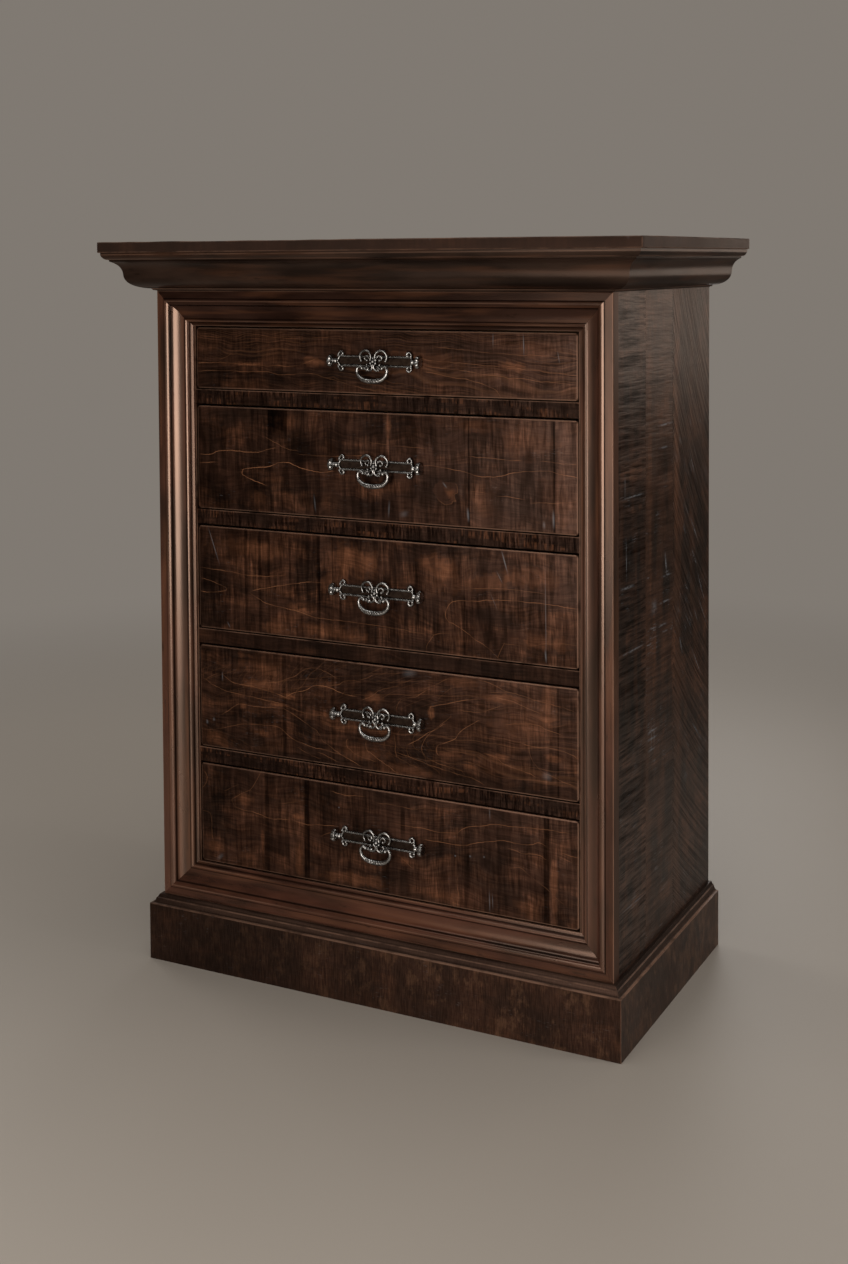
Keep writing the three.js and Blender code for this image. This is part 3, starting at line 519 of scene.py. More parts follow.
CLOUDS = {
    # strength (below 0 is dark), place and half size
    1: (
        (0.7, 275, -4, 30, 10), (0.5, -140, -4, 20, 8), (0.35, 100, 3, 80, 20), (0.5, -270, -12, 60, 5),
        (0.3, 330, 30, 60, 20), (-0.5, -200, -32, 160, 14), (-0.4, 350, -45, 60, 12), (-0.35, -300, 28, 100,
        14), (-0.3, 200, 45, 60, 10),
    ),
    2: (
        (0.4, 24, 75, 6, 32), (0.35, -190, 75, 30, 20), (0.4, 300, 60, 50, 30), (0.35, -260, -80, 20, 18),
        (0.3, -100, -75, 22, 15), (0.35, 210, -40, 30, 30), (0.3, 360, -50, 40, 40), (0.4, 200, 85, 60, 12),
        (-0.8, -215, 72, 20, 28), (-0.75, -60, -75, 60, 22), (-0.5, -270, 0, 30, 50), (-0.6, 100, -45, 35,
        35), (-0.55, 280, -45, 50, 30), (-0.3, -370, -60, 30, 40), (-0.4, 240, 80, 22, 30), (-0.3, 320, 20,
        30, 60),
    ),
    3: (
        (0.5, -270, 62, 80, 20), (0.6, -50, 55, 60, 28), (0.5, -75, 35, 15, 20), (0.65, 138, 45, 40, 30),
        (0.4, 200, 35, 60, 14), (0.5, 320, 55, 50, 18), (0.5, 330, -60, 50, 16), (0.6, -160, -45, 30, 12),
        (0.5, -100, -85, 80, 14), (0.4, -220, -85, 30, 14), (-0.75, -140, 0, 45, 55), (-0.5, -250, 20, 50,
        18), (-0.65, 100, -40, 40, 38), (-0.4, 30, 90, 50, 18), (-0.4, 240, -30, 60, 28), (-0.35, 210, 85,
        50, 14), (-0.45, -350, -30, 30, 30), (-0.3, -330, 60, 30, 20),
    ),
    4: (
        (0.4, -250, 65, 50, 26), (0.5, -250, 35, 40, 11), (0.8, -195, 19, 16, 6), (0.7, -255, -60, 20, 7),
        (0.6, -360, -80, 30, 13), (0.7, -115, -6, 10, 10), (0.6, -300, -12, 8, 7), (0.6, -220, -1, 26, 4),
        (0.5, -10, 35, 14, 9), (0.6, 110, 22, 6, 11), (0.6, 345, 60, 18, 44), (0.5, 250, 65, 40, 9), (0.6,
        245, -43, 26, 9), (0.7, 355, -30, 18, 7), (0.6, 190, -66, 20, 9), (0.5, 145, -50, 28, 7), (0.4, 300,
        20, 60, 26), (0.4, -40, -70, 50, 18), (0.4, 170, 85, 40, 9), (0.3, 40, -90, 60, 8), (-0.75, -270,
        -30, 80, 12), (-0.85, -160, -45, 30, 18), (-0.5, -360, 55, 30, 18), (-0.5, -120, 65, 50, 11), (-0.6,
        360, -55, 38, 16), (-0.5, -330, -80, 46, 10), (-0.4, 230, -20, 60, 14), (-0.4, 60, 15, 40, 14),
    ),
    5: (
        (0.45, -300, 35, 20, 18), (0.6, -180, 20, 17, 7), (0.5, -175, -50, 11, 38), (0.5, -258, -50, 4, 30),
        (0.5, -370, -66, 22, 11), (0.4, -290, -75, 20, 11), (0.35, 353, -20, 7, 78), (0.5, 55, -30, 14, 8),
        (0.4, -60, -80, 60, 14), (0.35, 130, -82, 60, 12), (0.3, 310, -75, 24, 20), (-0.65, -360, -20, 46,
        38), (-0.5, -220, -50, 46, 18), (-0.35, 210, 5, 80, 18), (-0.4, 140, 58, 46, 16), (-0.4, 40, -60,
        50, 26), (-0.3, 280, -40, 40, 30),
    ),
}
BANDS = {
    # strength (below 0 is dark), left and right edge, bottom and top
    1: (),
    2: (
        (-0.7, -237, -194, 46, 110), (0.3, -285, -281, -110, 110), (0.45, 22, 26, 15, 110), (-0.3, -262,
        -258, 20, 110), (0.2, -240, -150, -110, -50), (-0.66, 187.5, 190.7, -110, 110), (0.25, 191.5, 212,
        -110, 110), (-0.66, 353.4, 356.8, -110, 110), (0.25, 357.6, 390, -110, 110), (-0.25, 60, 84, 20,
        110),
    ),
    3: (
        (-0.55, -131, -124, -110, 110), (0.25, -123, -98, -110, 110), (-0.5, -262, -256, -110, 110), (-0.5,
        -294, -287, -110, 110), (-0.4, -241, -235, -110, 110), (-0.35, 79, 86, -60, 70), (-0.35, -98, -95,
        -30, 110), (-0.55, 177.5, 179.5, -110, 30), (-0.45, 340, 342, -110, 110), (0.2, -14, 16, -110, 20),
        (-0.25, -320, -306, -110, 110),
    ),
    4: (
        (-0.5, -210, -202, -110, 110), (-0.45, -101, -95, -110, 110), (0.4, 337, 345, -110, 110), (-0.6,
        360, 363, -110, 110), (0.4, -348, -344, 30, 110), (0.35, -339, -336, 30, 110), (0.3, -331, -328, 40,
        110), (-0.4, -327, -323, 20, 110), (0.3, -257, -246, 40, 110), (-0.3, -176, -170, -20, 110), (0.45,
        -170, -166, -5, 110), (-0.35, -37, -34, 20, 110), (0.3, -33, -26, 20, 110),
    ),
    5: (
        # the first band, lighter over the right half, is painted sheen
        (0.3, -20, 400, -110, 110), (-0.6, -163, -152, -110, 110), (0.25, -198, -164, -110, 36), (-0.5,
        -253, -243, -110, 110), (-0.35, -130, -120, -20, 110), (-0.6, 45, 54, 18, 70), (-0.4, -34, -26, 20,
        110), (-0.65, 333, 344, -110, 110), (0.35, 347, 360, -110, 110), (-0.3, -320, -308, -110, 110),
        (0.3, -88, -70, -110, -50), (0.25, -60, -38, -110, -50), (-0.4, 4, 20, -110, -20), (0.3, 160, 176,
        -110, -50), (-0.3, 178, 186, -110, 110), (0.25, 288, 312, -110, -50),
    ),
}
SCRATCHES = {
    # strength, half width, and its two ends
    1: (
        (0.5, 0.7, 238, 58, 238, 30), (0.7, 0.8, 297, 56, 298, 15), (0.4, 0.8, 362, 26, 366, 4),
    ),
    2: (
        (0.6, 1.7, 186, -66, 188, -92), (0.6, 1.6, 353, -60, 354, -94), (0.4, 2, 335, -80, 336, -95), (0.3,
        1.2, -136, -60, -132, -95), (0.35, 1.3, 26, -62, 24, -95), (0.5, 1.2, 136, -22, 145, -33), (0.25, 6,
        54, -80, 58, -92),
    ),
    3: (
        (0.5, 0.8, -378, 98, -352, 25), (0.8, 0.9, 253, 98, 265, 57), (0.5, 0.6, 243, 60, 255, 38), (0.45,
        0.7, 337.5, 70, 339, -96), (0.6, 1.2, 337, -72, 339, -96), (0.35, 1, -335, -86, -328, -98), (0.3,
        0.6, 230, 20, 245, -12),
    ),
    4: (
        (0.4, 1, -348, 50, -348, 31), (0.4, 3, -388, -54, -382, -53), (0.35, 2.5, -372, -48, -366, -46),
        (0.25, 5, 50, 88, 82, 95), (0.3, 5, 330, -62, 350, -66),
    ),
    5: (
        (0.45, 0.9, 226, -55, 227, -96), (0.4, 0.7, 232, -60, 233, -90), (0.3, 1, 227, 98, 228, 74), (0.25,
        3, -366, -94, -350, -80), (0.6, 1.2, 156, -3, 160, -3), (0.5, 1.4, 186, 1, 190, 1), (0.5, 1.2, 214,
        4, 218, 4), (0.5, 1, -89, 51, -85, 51),
    ),
}
FRONT_HEARTS = {
    1: ((-0.42, 0.028, 9.0, 0.10, 0.030),),
    4: ((0.125, -0.044, 2.4, 0.12, 0.026), (-0.33, -0.010, 3.4, -0.06, 0.040))
}
LINE_HALF = 0.95 * MM
LINE_FADE = 8 * MM
BAND_EDGE = 0.9 * MM
BAND_FADE = 16 * MM
KNOT_PLACE = (0.143, -0.038)
KNOT_SIZE = 0.027


def line_share(work, value, other, line, bottom, top, low, high, fade, strength):
    centre = bottom + line * (top - bottom)
    off = abs(other - centre)
    share = 1 - work.rise(off, 0.15 * LINE_HALF, LINE_HALF)
    share = share * work.rise(value, low - fade, low + fade)
    share = share * (1 - work.rise(value, high - fade, high + fade))
    return share * strength


def with_line(finish, colour, place, drift, line):
    """A thin ring line through places of a drawer's face."""
    strength, *numbers = line
    stops = [(x * MM, z * MM) for x, z in zip(numbers[::2], numbers[1::2])]
    value, other = place
    wide, tall = (max(stop[axis] for stop in stops) - min(stop[axis] for stop in stops) for axis in (0, 1))
    if tall > wide:
        value, other = other, value
        stops = [(z, x) for x, z in stops]
    low, high = min(stops)[0], max(stops)[0]
    curve, bottom, top = finish.curve(value, stops)
    share = finish.shared(
        line_share, value=value, other=other, line=curve, bottom=bottom, top=top, low=low, high=high,
        fade=min(LINE_FADE, 0.2 * (high - low)), strength=drift * strength,
    )
    return finish.mixed(share, colour, RING_ORANGE)


def cloud_share(work, x, z, ragged, middle_x, middle_z, half_x, half_z, strength):
    out = (x - middle_x) / half_x
    up = (z - middle_z) / half_z
    away = work.distance(out, up) + ragged
    return (1 - work.rise(away, 0.25, 1.25)) * strength


def with_cloud(finish, colour, place, ragged, cloud):
    """A warm or a dark cloud of stain with ragged edges."""
    strength, x, z, half_x, half_z = (cloud[0], *(number * MM for number in cloud[1:]))
    share = finish.shared(
        cloud_share, x=place[
            0
        ], z=place[1], ragged=ragged, middle_x=x, middle_z=z, half_x=half_x, half_z=half_z,
        strength=abs(strength),
    )
    return finish.mixed(share, colour, ORANGE_BROWN if strength > 0 else BLACK_BROWN)


def band_shade(work, x, z, left, right, bottom, top, strength):
    """How much lighter or darker a board is inside an upright band."""
    share = work.rise(x, left - BAND_EDGE, left + BAND_EDGE)
    share = share * (1 - work.rise(x, right - BAND_EDGE, right + BAND_EDGE))
    share = share * work.rise(z, bottom - BAND_FADE, bottom + BAND_FADE)
    share = share * (1 - work.rise(z, top - BAND_FADE, top + BAND_FADE))
    return 1.0 + share * strength


def banded(finish, place, bands):
    """How much lighter or darker a board is in all its upright bands."""
    shade = 1.0
    for band in bands:
        strength, left, right, bottom, top = (band[0], *(number * MM for number in band[1:]))
        shade = shade * finish.shared(
            band_shade, x=place[
                0
            ], z=place[1], left=left, right=right, bottom=bottom, top=top, strength=strength,
        )
    return shade


def scratch_share(work, x, z, middle_x, middle_z, run_x, run_z, width, reach, strength):
    from_x, from_z = x - middle_x, z - middle_z
    on_line = abs(from_x * run_x + from_z * run_z)
    off_line = abs(from_x * run_z - from_z * run_x)
    share = (1 - work.rise(off_line, 0.0, width)) * (1 - work.rise(on_line, 0.0, reach))
    return share * strength


def with_scratch(finish, colour, place, scratch, shown=1.0):
    """A straight scratch between two places of a face, pale, or dark where its strength is below 0."""
    strength, width, x0, z0, x1, z1 = (scratch[0], *(number * MM for number in scratch[1:]))
    long = math.hypot(x1 - x0, z1 - z0)
    share = finish.shared(
        scratch_share, x=place[0], z=place[1], middle_x=(
            x0 + x1
        ) / 2, middle_z=(z0 + z1) / 2, run_x=(x1 - x0) / long,
        run_z=(z1 - z0) / long, width=2 * width, reach=0.62 * long, strength=abs(strength) * shown,
    )
    return finish.mixed(share, colour, SCUFF_AND_GLINT_GREY if strength > 0 else BLACK_BROWN)


def with_knot(finish, colour, place, jitter):
    """A tight knot: dark wood round a warm eye with a crack at its foot."""
    out = place[0] - KNOT_PLACE[0] + jitter * 0.036
    up = place[1] - KNOT_PLACE[1] + jitter * (-0.030)
    away = finish.distance(out, up)
    colour = finish.mixed(
        (1 - finish.rise(away, 0.8 * KNOT_SIZE, 1.5 * KNOT_SIZE)) * 0.6, colour, BLACK_BROWN
    )
    eye = 1 - finish.rise(away, 0.78 * KNOT_SIZE, 0.88 * KNOT_SIZE)
    colour = finish.mixed(eye * 0.8, colour, MID_BROWN)
    warm = finish.near(finish.distance(out - 0.40 * KNOT_SIZE, up + 0.2 * KNOT_SIZE), 0.0, 0.55 * KNOT_SIZE)
    colour = finish.mixed(warm * 0.7, colour, ORANGE_BROWN)
    rim = finish.near(away, 0.86 * KNOT_SIZE, 0.06 * KNOT_SIZE)
    rightward = finish.rise(out - up, -0.02, 0.02)
    colour = finish.mixed(rim * rightward * 0.28, colour, RING_ORANGE)
    crack = finish.near(up, -0.44 * KNOT_SIZE, 0.09 * KNOT_SIZE) * finish.near(out, 0.0, 0.62 * KNOT_SIZE)
    return finish.mixed(crack * 0.9, colour, BLACK_BROWN)


def front_wood(number):
    name = f"drawer_{number}_front"
    finish = Finish(f"maple_{name}")
    parts = finish.parts(finish.place)
    place = (parts[X], parts[Z] - PULL_HEIGHTS[number])

    def clouded(colour, ragged):
        for cloud in CLOUDS[number]:
            colour = with_cloud(finish, colour, place, ragged, cloud)
        return colour

    colour, height, spot, (sway, jitter), marks = maple(
        finish, (X, Z, Y), shift_of(name), FRONT_LOOKS[number], clouded
    )
    bands = banded(finish, place, BANDS[number])
    colour = finish.shaded(colour, bands)
    if number == 2:
        colour = with_knot(finish, colour, place, jitter)
    if number in FRONT_HEARTS:
        colour = with_rings(finish, colour, place, (sway, jitter), FRONT_HEARTS[number], 0.16)
    drift = finish.between(finish.rise(finish.noise(spot, LINE_DRIFT_SIZES, 2.0), 0.35, 0.62), 0.28, 0.95)
    shaken = [value + jitter * LINE_SHAKE for value in place]
    for line in RING_LINES[number]:
        colour = with_line(finish, colour, shaken, drift, line)
    colour = scuffed(finish, colour, spot, 0.25)
    for scratch in SCRATCHES[number]:
        colour = with_scratch(finish, colour, place, scratch)
    # Pink edges, stronger towards the right: partly wear, partly a painted highlight on the eased edges
    edge = edge_share(finish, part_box(name), FRONT_EDGE_REACH)
    patchy = finish.rise(finish.noise(finish.place, WEAR_SIZES, 3.0, 0.7), 0.25, 0.50)
    rightwards = finish.rise(parts[X], -0.5, 0.42)
    colour = finish.mixed(edge * patchy * finish.between(rightwards, 0.35, 0.85), colour, WEAR_AND_HIGHLIGHT_PINK)
    roughness = finish.between(finish.noise(spot, GLOSS_SIZES, 3.0), 0.27, 0.42)
    gloss = marks * bands * 0.20 + edge * 0.35
    return lacquered(finish, colour, roughness, height, FRONT_BUMP, gloss)


RAIL_HEIGHT = 0.028
SMOOTH_RAIL = "web_frame_3"
RAIL_SAW_SIZES = (0.0042, 0.01, 1.0)
RAIL_PATCH_SIZES = (0.09, 0.012, 0.3)
RAIL_TOP_EDGE_REACH = 0.0024


def rail_wood(name):
    """Rails between the drawers: near black, with patches of fine warm saw marks and a pink top edge, partly
    wear and partly painted highlight.
    """
    finish = Finish(f"maple_{name}")
    plain = name == SMOOTH_RAIL
    look = {
        "streaks": 0.12, "columns": 0.12, "narrow": 0.1 if plain else 0.3, "ticks": 0.15 if plain else 0.7,
        "warmth": 0.35
    }
    colour, height, spot, _, marks = maple(finish, (X, Z, Y), shift_of(name), look)
    colour = finish.shaded(colour, 0.5)
    low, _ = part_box(name)
    parts = finish.parts(finish.place)
    sawn = finish.noise(finish.vector(parts[X], parts[Z] * 0.2, 0.0), RAIL_SAW_SIZES, 2.0, 0.7)
    where = finish.rise(finish.noise(spot, RAIL_PATCH_SIZES, 2.0), 0.48, 0.66)
    colour = finish.mixed(
        finish.rise(sawn, 0.48, 0.62) * where * (0.1 if plain else 0.5), colour, ORANGE_BROWN
    )
    # The pink top front edge is partly wear, partly a painted highlight where the edge faces up into the
    # light
    front = finish.near(parts[Y], low[Y], EDGE_REACH)
    worn = finish.near(parts[Z], low[Z] + RAIL_HEIGHT, RAIL_TOP_EDGE_REACH)
    patchy = finish.rise(finish.noise(finish.place, WEAR_SIZES, 3.0, 0.7), 0.30, 0.6)
    colour = finish.mixed(front * worn * (patchy * 0.4), colour, WEAR_AND_HIGHLIGHT_PINK)
    roughness = finish.between(finish.noise(spot, GLOSS_SIZES, 3.0), 0.36, 0.58)
    return lacquered(finish, colour, roughness, height, RAIL_BUMP, marks * 0.16)


# Colours of the mouldings, the plinth and the top board
MOULDING_DARK = (0.0105, 0.0042, 0.0027, 1)
MOULDING_LIGHT = (0.062, 0.0225, 0.0135, 1)
MOULDING_MIDDLE = (0.030, 0.0140, 0.0095, 1)
MOULDING_GLOSS = (1.0, 0.70, 0.55, 1)
CROWN_DARK = (0.0078, 0.0046, 0.0035, 1)
CROWN_LIGHT = (0.029, 0.0170, 0.0122, 1)
PLINTH_BROWN = (0.019, 0.0112, 0.0080, 1)
PLINTH_OCHRE = (0.080, 0.041, 0.023, 1)
OCHRE_SIZES = (0.034, 0.034, 0.050)
TOP_BROWN = (0.030, 0.0190, 0.0148, 1)

# Moulded wood: sizes of its marks, and how far wear and painted highlight, and stain and painted shade, reach
# from a line
DRIFT_SIZES = (0.22, 0.05, 0.1)
SOFT_STREAK_SIZES = (0.20, 0.016, 0.03)
SOFT_FIBRE_SIZES = (0.05, 0.0016, 0.004)
STAINED_SIZES = (0.05, 0.012, 0.03)
WORN_ARRIS_SIZES = (0.12, 0.05, 0.05)
SOFT_GLOSS_SIZES = (0.16, 0.05, 0.08)
ARRIS_REACH = 0.0018
QUIRK_REACH = 0.0019
OUTER_START, OUTER_END = BODY_HALF - 0.0008, BODY_HALF - 0.0002
OUTER_REACH = 0.0011
HOLLOW_REACH = 0.010
SMOOTH_BUMP = 0.00001


def smooth_wood(name, axes, lines, line_axis, tones, warmth=0.35, gloss=1.0, index=1.5, dull=0.0):
    """Moulded wood: smooth, with pink lines along its arrises, partly wear and partly painted highlight,
    and dark lines in its quirks, partly stain and partly painted shade; the uprights get painted shade in
    their coves.
    lines holds the places of the arrises and those of the quirks."""
    finish = Finish(f"moulding_{name}")
    along, across, depth = grain_places(finish, axes, shift_of(name))
    spot = finish.vector(along, across, depth)
    drift = finish.noise(spot, DRIFT_SIZES, 3.0, 0.55)
    streak = finish.noise(spot, SOFT_STREAK_SIZES, 3.0, 0.5)
    fibre = finish.noise(spot, SOFT_FIBRE_SIZES, 2.0, 0.6)
    dark = finish.rise(finish.noise(spot, STAINED_SIZES, 3.0, 0.6), 0.60, 0.74)
    colour = finish.mixed(finish.rise(drift, 0.34, 0.66), *tones)
    colour = finish.mixed(finish.rise(streak, 0.46, 0.72) * warmth, colour, ORANGE_BROWN)
    colour = finish.mixed(dark * 0.6, colour, BLACK_BROWN)
    colour = finish.shaded(colour, finish.between(fibre, 0.92, 1.08))
    place = abs(finish.parts(finish.place)[line_axis])
    patchy = finish.rise(finish.noise(spot, WORN_ARRIS_SIZES, 1.0), 0.30, 0.58)
    arrises, quirks = lines
    # Pink along the arrises: partly wear, partly painted highlight
    for arris in arrises:
        colour = finish.mixed(finish.near(place, arris, ARRIS_REACH) * (patchy * 0.25), colour, WEAR_AND_HIGHLIGHT_PINK)
    # Dark in the quirks: partly stain, partly painted shade in the creases
    stained = 0.0
    for quirk in quirks:
        stained = finish.most(stained, finish.near(place, quirk, QUIRK_REACH))
    colour = finish.mixed(stained * 0.9, colour, BLACK_BROWN)
    gloss = finish.between(stained, gloss, 0.1 * gloss)
    roughness = finish.between(finish.noise(spot, SOFT_GLOSS_SIZES, 1.0), 0.19 + dull, 0.30 + dull)
    if line_axis == X:
        outer_face = finish.rise(place, OUTER_START, OUTER_END)
        flat = finish.rise(place, quirks[0], quirks[0] + MM) * (1.0 if "right" in name else 0.3)
        # The cove of the upright mouldings is darkened as painted shade; the outer face is darkened too
        hollow = finish.near(place, (quirks[1] + quirks[2]) / 2, HOLLOW_REACH)
        colour = finish.shaded(colour, finish.between(finish.most(outer_face, hollow), 1.0, 0.5))
        # The outer arris in pink, stronger on the right moulding: partly wear, partly painted highlight
        edge = finish.near(place, OUTER_START, OUTER_REACH)
        colour = finish.mixed(edge * (0.4 if "right" in name else 0.1), colour, WEAR_AND_HIGHLIGHT_PINK)
        gloss = gloss * finish.between(outer_face, 1.0, 0.1)
        gloss = gloss * finish.between(flat, 1.0, 0.3)
    return lacquered(finish, colour, roughness, fibre, SMOOTH_BUMP, gloss, MOULDING_GLOSS, index)


# Side panels: three upright boards behind the edge strip of the case
STRIP_JOINT = -0.207
BOARD_JOINTS = (-0.065, 0.087)
SHEEN_HEIGHT = 1.02
REAR_SAW_MIDDLE = (1.34, 1.86)
SAW_SIZES = (0.0065, 0.10, 1.0)
BAR_SIZES = (0.020, 0.30, 1.0)
DASH_SIZES = (0.0014, 0.035, 1.0)
WARM_SIZES = (1.0, 0.035, 0.30)
SCUFF_AND_GLINT_PATCH_SIZES = (0.05, 0.04, 0.05)
BROKEN_SIZES = (0.010, 0.010, 0.004)
STRIP_REACH = 0.003
# warm stain beside each joint: its middle behind the joint, and its reach
JOINT_STAINS = ((BOARD_JOINTS[0] + 0.006, 0.016), (BOARD_JOINTS[1] + 0.024, 0.028))
BOARD_STEP = 3.7

# Marks of the right side panel, from the back edge's zero and the floor, in millimetres; among them painted
# sheen and a painted floor reflection
SIDE_BANDS = (
    # strength, bottom and top, front and rear edge
    # the first two bands, lighter over the top boards, are painted sheen; the light band from 100 to 420 is a
    # painted floor reflection
    (0.3, 1165, 1400, -240, 90), (0.15, 1180, 1400, 90, 320), (-0.5, 1234, 1239, -200, -55), (-0.35, 1208,
    1213, -200, -60), (-0.35, 1160, 1165, -200, -55), (-0.2, 1157, 1162, -50, 85), (-0.3, 1132, 1150, -200,
    -60), (-0.35, 1072, 1079, -200, -60), (-0.3, 1052, 1058, -200, -60), (-0.3, 1014, 1022, -200, -60),
    (-0.45, 985, 1052, 0, 80), (-0.3, 840, 985, -200, -60), (-0.25, 560, 800, -200, -60), (-0.25, 860, 960,
    -40, 95), (0.2, 100, 420, -240, 320), (0.15, 930, 944, -200, -60), (0.25, 455, 462, -50, 110),
)
SIDE_CLOUDS = (
    # strength (below 0 is dark), place and half size
    (0.33, -42, 960, 13, 330), (0.36, 108, 1010, 16, 240), (0.3, 92, 640, 13, 120), (0.3, 40, 1120, 60, 55),
    (0.27, -130, 1010, 60, 22), (0.3, -120, 940, 60, 9), (0.24, 40, 900, 24, 55), (0.21, 140, 880, 14, 40),
    (0.24, 40, 650, 22, 60), (0.21, 230, 560, 50, 60), (0.27, -20, 640, 12, 160), (0.18, -100, 230, 60, 18),
    (0.21, 45, 200, 60, 18), (0.18, 200, 1060, 60, 40), (0.15, -60, 1290, 60, 40), (-0.85, -130, 860, 60,
    90), (-0.75, -130, 640, 60, 90), (-0.8, 40, 1010, 34, 32), (-0.65, -10, 900, 24, 90), (-0.55, 60, 930,
    20, 60), (-0.5, 240, 950, 60, 90), (-0.45, 200, 700, 90, 90), (-0.4, -10, 560, 40, 60), (-0.35, 250,
    450, 40, 80),
)
SIDE_SCRATCHES = (
    # pale strokes are partly scuffs, partly painted glints on the saw ridges; those below 0 are dark marks
    # strength, half width, and its two ends
    (0.94, 1.4, 2, 1077, 88, 1077), (0.77, 1.4, 8, 1035, 70, 1034), (0.68, 1.2, -190, 966, -60, 963), (0.59,
    1.6, -172, 1012, -172, 962), (0.77, 2, -195, 810, -125, 806), (0.68, 1.4, -166, 895, -165, 820), (0.68,
    1.2, -200, 693, -68, 690), (0.68, 1.4, 20, 795, 82, 793), (0.85, 2.7, 42, 838, 50, 800), (0.42, 9.5,
    -38, 748, -2, 745), (0.68, 1.4, 5, 747, 80, 746), (0.68, 1.4, -45, 711, -5, 708), (0.59, 1.4, 0, 706,
    55, 704), (0.59, 1.4, 25, 692, 58, 690), (0.77, 1.6, -58, 522, 0, 520), (0.68, 1.6, -58, 508, 0, 506),
    (0.59, 1.4, -55, 488, -10, 486), (0.51, 1.4, -35, 540, -34, 480), (0.51, 1.4, -20, 540, -19, 490),
    (0.51, 1.2, -190, 238, -60, 232), (0.77, 1.4, 190, 1008, 215, 968), (0.68, 1.4, 190, 885, 240, 830),
    (0.68, 1.4, 200, 820, 235, 780), (0.59, 1.4, 235, 770, 285, 700), (0.59, 1.4, 205, 620, 260, 560),
    (0.59, 1.4, 200, 480, 250, 440), (0.59, 2, 125, 665, 145, 625), (0.51, 1.4, 250, 1070, 262, 1058),
    (0.51, 1.4, 185, 1080, 200, 1055), (0.59, 1.2, 150, 1000, 160, 985), (-0.7, 5, 125, 1300, 178, 1226),
    (-0.5, 3.5, 190, 1325, 235, 1240), (-0.4, 3, 150, 1330, 175, 1290), (0.51, 1.2, 240, 720, 300, 650),
    (0.51, 1.2, 215, 700, 240, 670), (0.51, 1.2, -60, 806, -45, 806),
)


def panel_wood(name):
    finish = Finish(f"sawn_{name}")
    parts = finish.parts(finish.place)
    y, z = parts[Y], parts[Z]
    second = finish.rise(y, BOARD_JOINTS[0] - MM, BOARD_JOINTS[0] + MM)
    third = finish.rise(y, BOARD_JOINTS[1] - MM, BOARD_JOINTS[1] + MM)
    board = second + third
    look = {"streaks": 0.10, "columns": 0.06, "narrow": 0.10, "ticks": 0.12, "warmth": 0.30}

    def clouded(colour, ragged):
        for cloud in SIDE_CLOUDS:
            colour = with_cloud(finish, colour, (y, z), ragged, cloud)
        return colour

    colour, height, *_ = maple(finish, (Z, Y, X), shift_of(name), look, clouded)
    # the rear board's marks are arcs round a far point, the others' run straight across
    ring = finish.distance(y - REAR_SAW_MIDDLE[0], z - REAR_SAW_MIDDLE[1])
    ring = ring * 1.5
    straight = z + y * 0.03
    saw = (1 - third) * straight + third * ring
    run = (1 - third) * y + third * z
    sawn = finish.vector(saw, run, board * BOARD_STEP)
    marks = finish.noise(sawn, SAW_SIZES, 3.0, 0.65)
    bars = finish.noise(sawn, BAR_SIZES, 2.0, 0.5)
    coarse = finish.between(second, 1.0, 0.45)
    coarse = coarse + third * 0.35
    marked = (finish.rise(marks, 0.34, 0.66) - 0.5) * coarse
    # The bands paint sheen over the top boards and a floor reflection low down, besides real marks
    shade = (1.0 + marked * 1.4) * banded(finish, (z, y), SIDE_BANDS)
    barred = finish.rise(bars, 0.52, 0.66) * coarse * finish.between(third, 1.0, 0.45)
    colour = finish.mixed(barred * 0.6, finish.shaded(colour, shade), BLACK_BROWN)
    warm = finish.rise(finish.noise(finish.vector(board * BOARD_STEP, y, z), WARM_SIZES, 2.0), 0.48, 0.66)
    colour = finish.mixed(warm * 0.12, colour, ORANGE_BROWN)
    joints = finish.most(*[finish.near(y, *stain) for stain in JOINT_STAINS])
    colour = finish.mixed(joints * 0.15, colour, ORANGE_BROWN)
    strip = 1 - finish.rise(y, STRIP_JOINT - STRIP_REACH, STRIP_JOINT + STRIP_REACH)
    colour = finish.mixed(strip * 0.4, colour, MID_BROWN)
    # Pale dashes, stronger below the sheen: partly scuffs, partly painted glints on the saw ridges
    dashes = finish.rise(finish.noise(sawn, DASH_SIZES, 1.0), 0.60, 0.74)
    rubbed = finish.rise(finish.noise(finish.place, SCUFF_AND_GLINT_PATCH_SIZES, 2.0), 0.52, 0.68)
    below = 1 - finish.rise(z, SHEEN_HEIGHT - 0.05, SHEEN_HEIGHT + 0.10)
    pale = dashes * rubbed * finish.between(below, 0.15, 0.55)
    colour = finish.mixed(pale, colour, SCUFF_AND_GLINT_GREY)
    broken = finish.rise(finish.noise(finish.place, BROKEN_SIZES, 2.0), 0.30, 0.55)
    # Pale strokes: partly scuffs, partly painted glints
    for scratch in SIDE_SCRATCHES:
        colour = with_scratch(finish, colour, (y, z), scratch, broken)
    roughness = finish.between(marks, 0.30, 0.42)
    height = marks * 1.6 + height
    gloss = shade * finish.between(barred, 1.0, 0.35) * 0.20
    return lacquered(finish, colour, roughness, height, SAWN_BUMP, gloss, NEUTRAL_GLOSS)


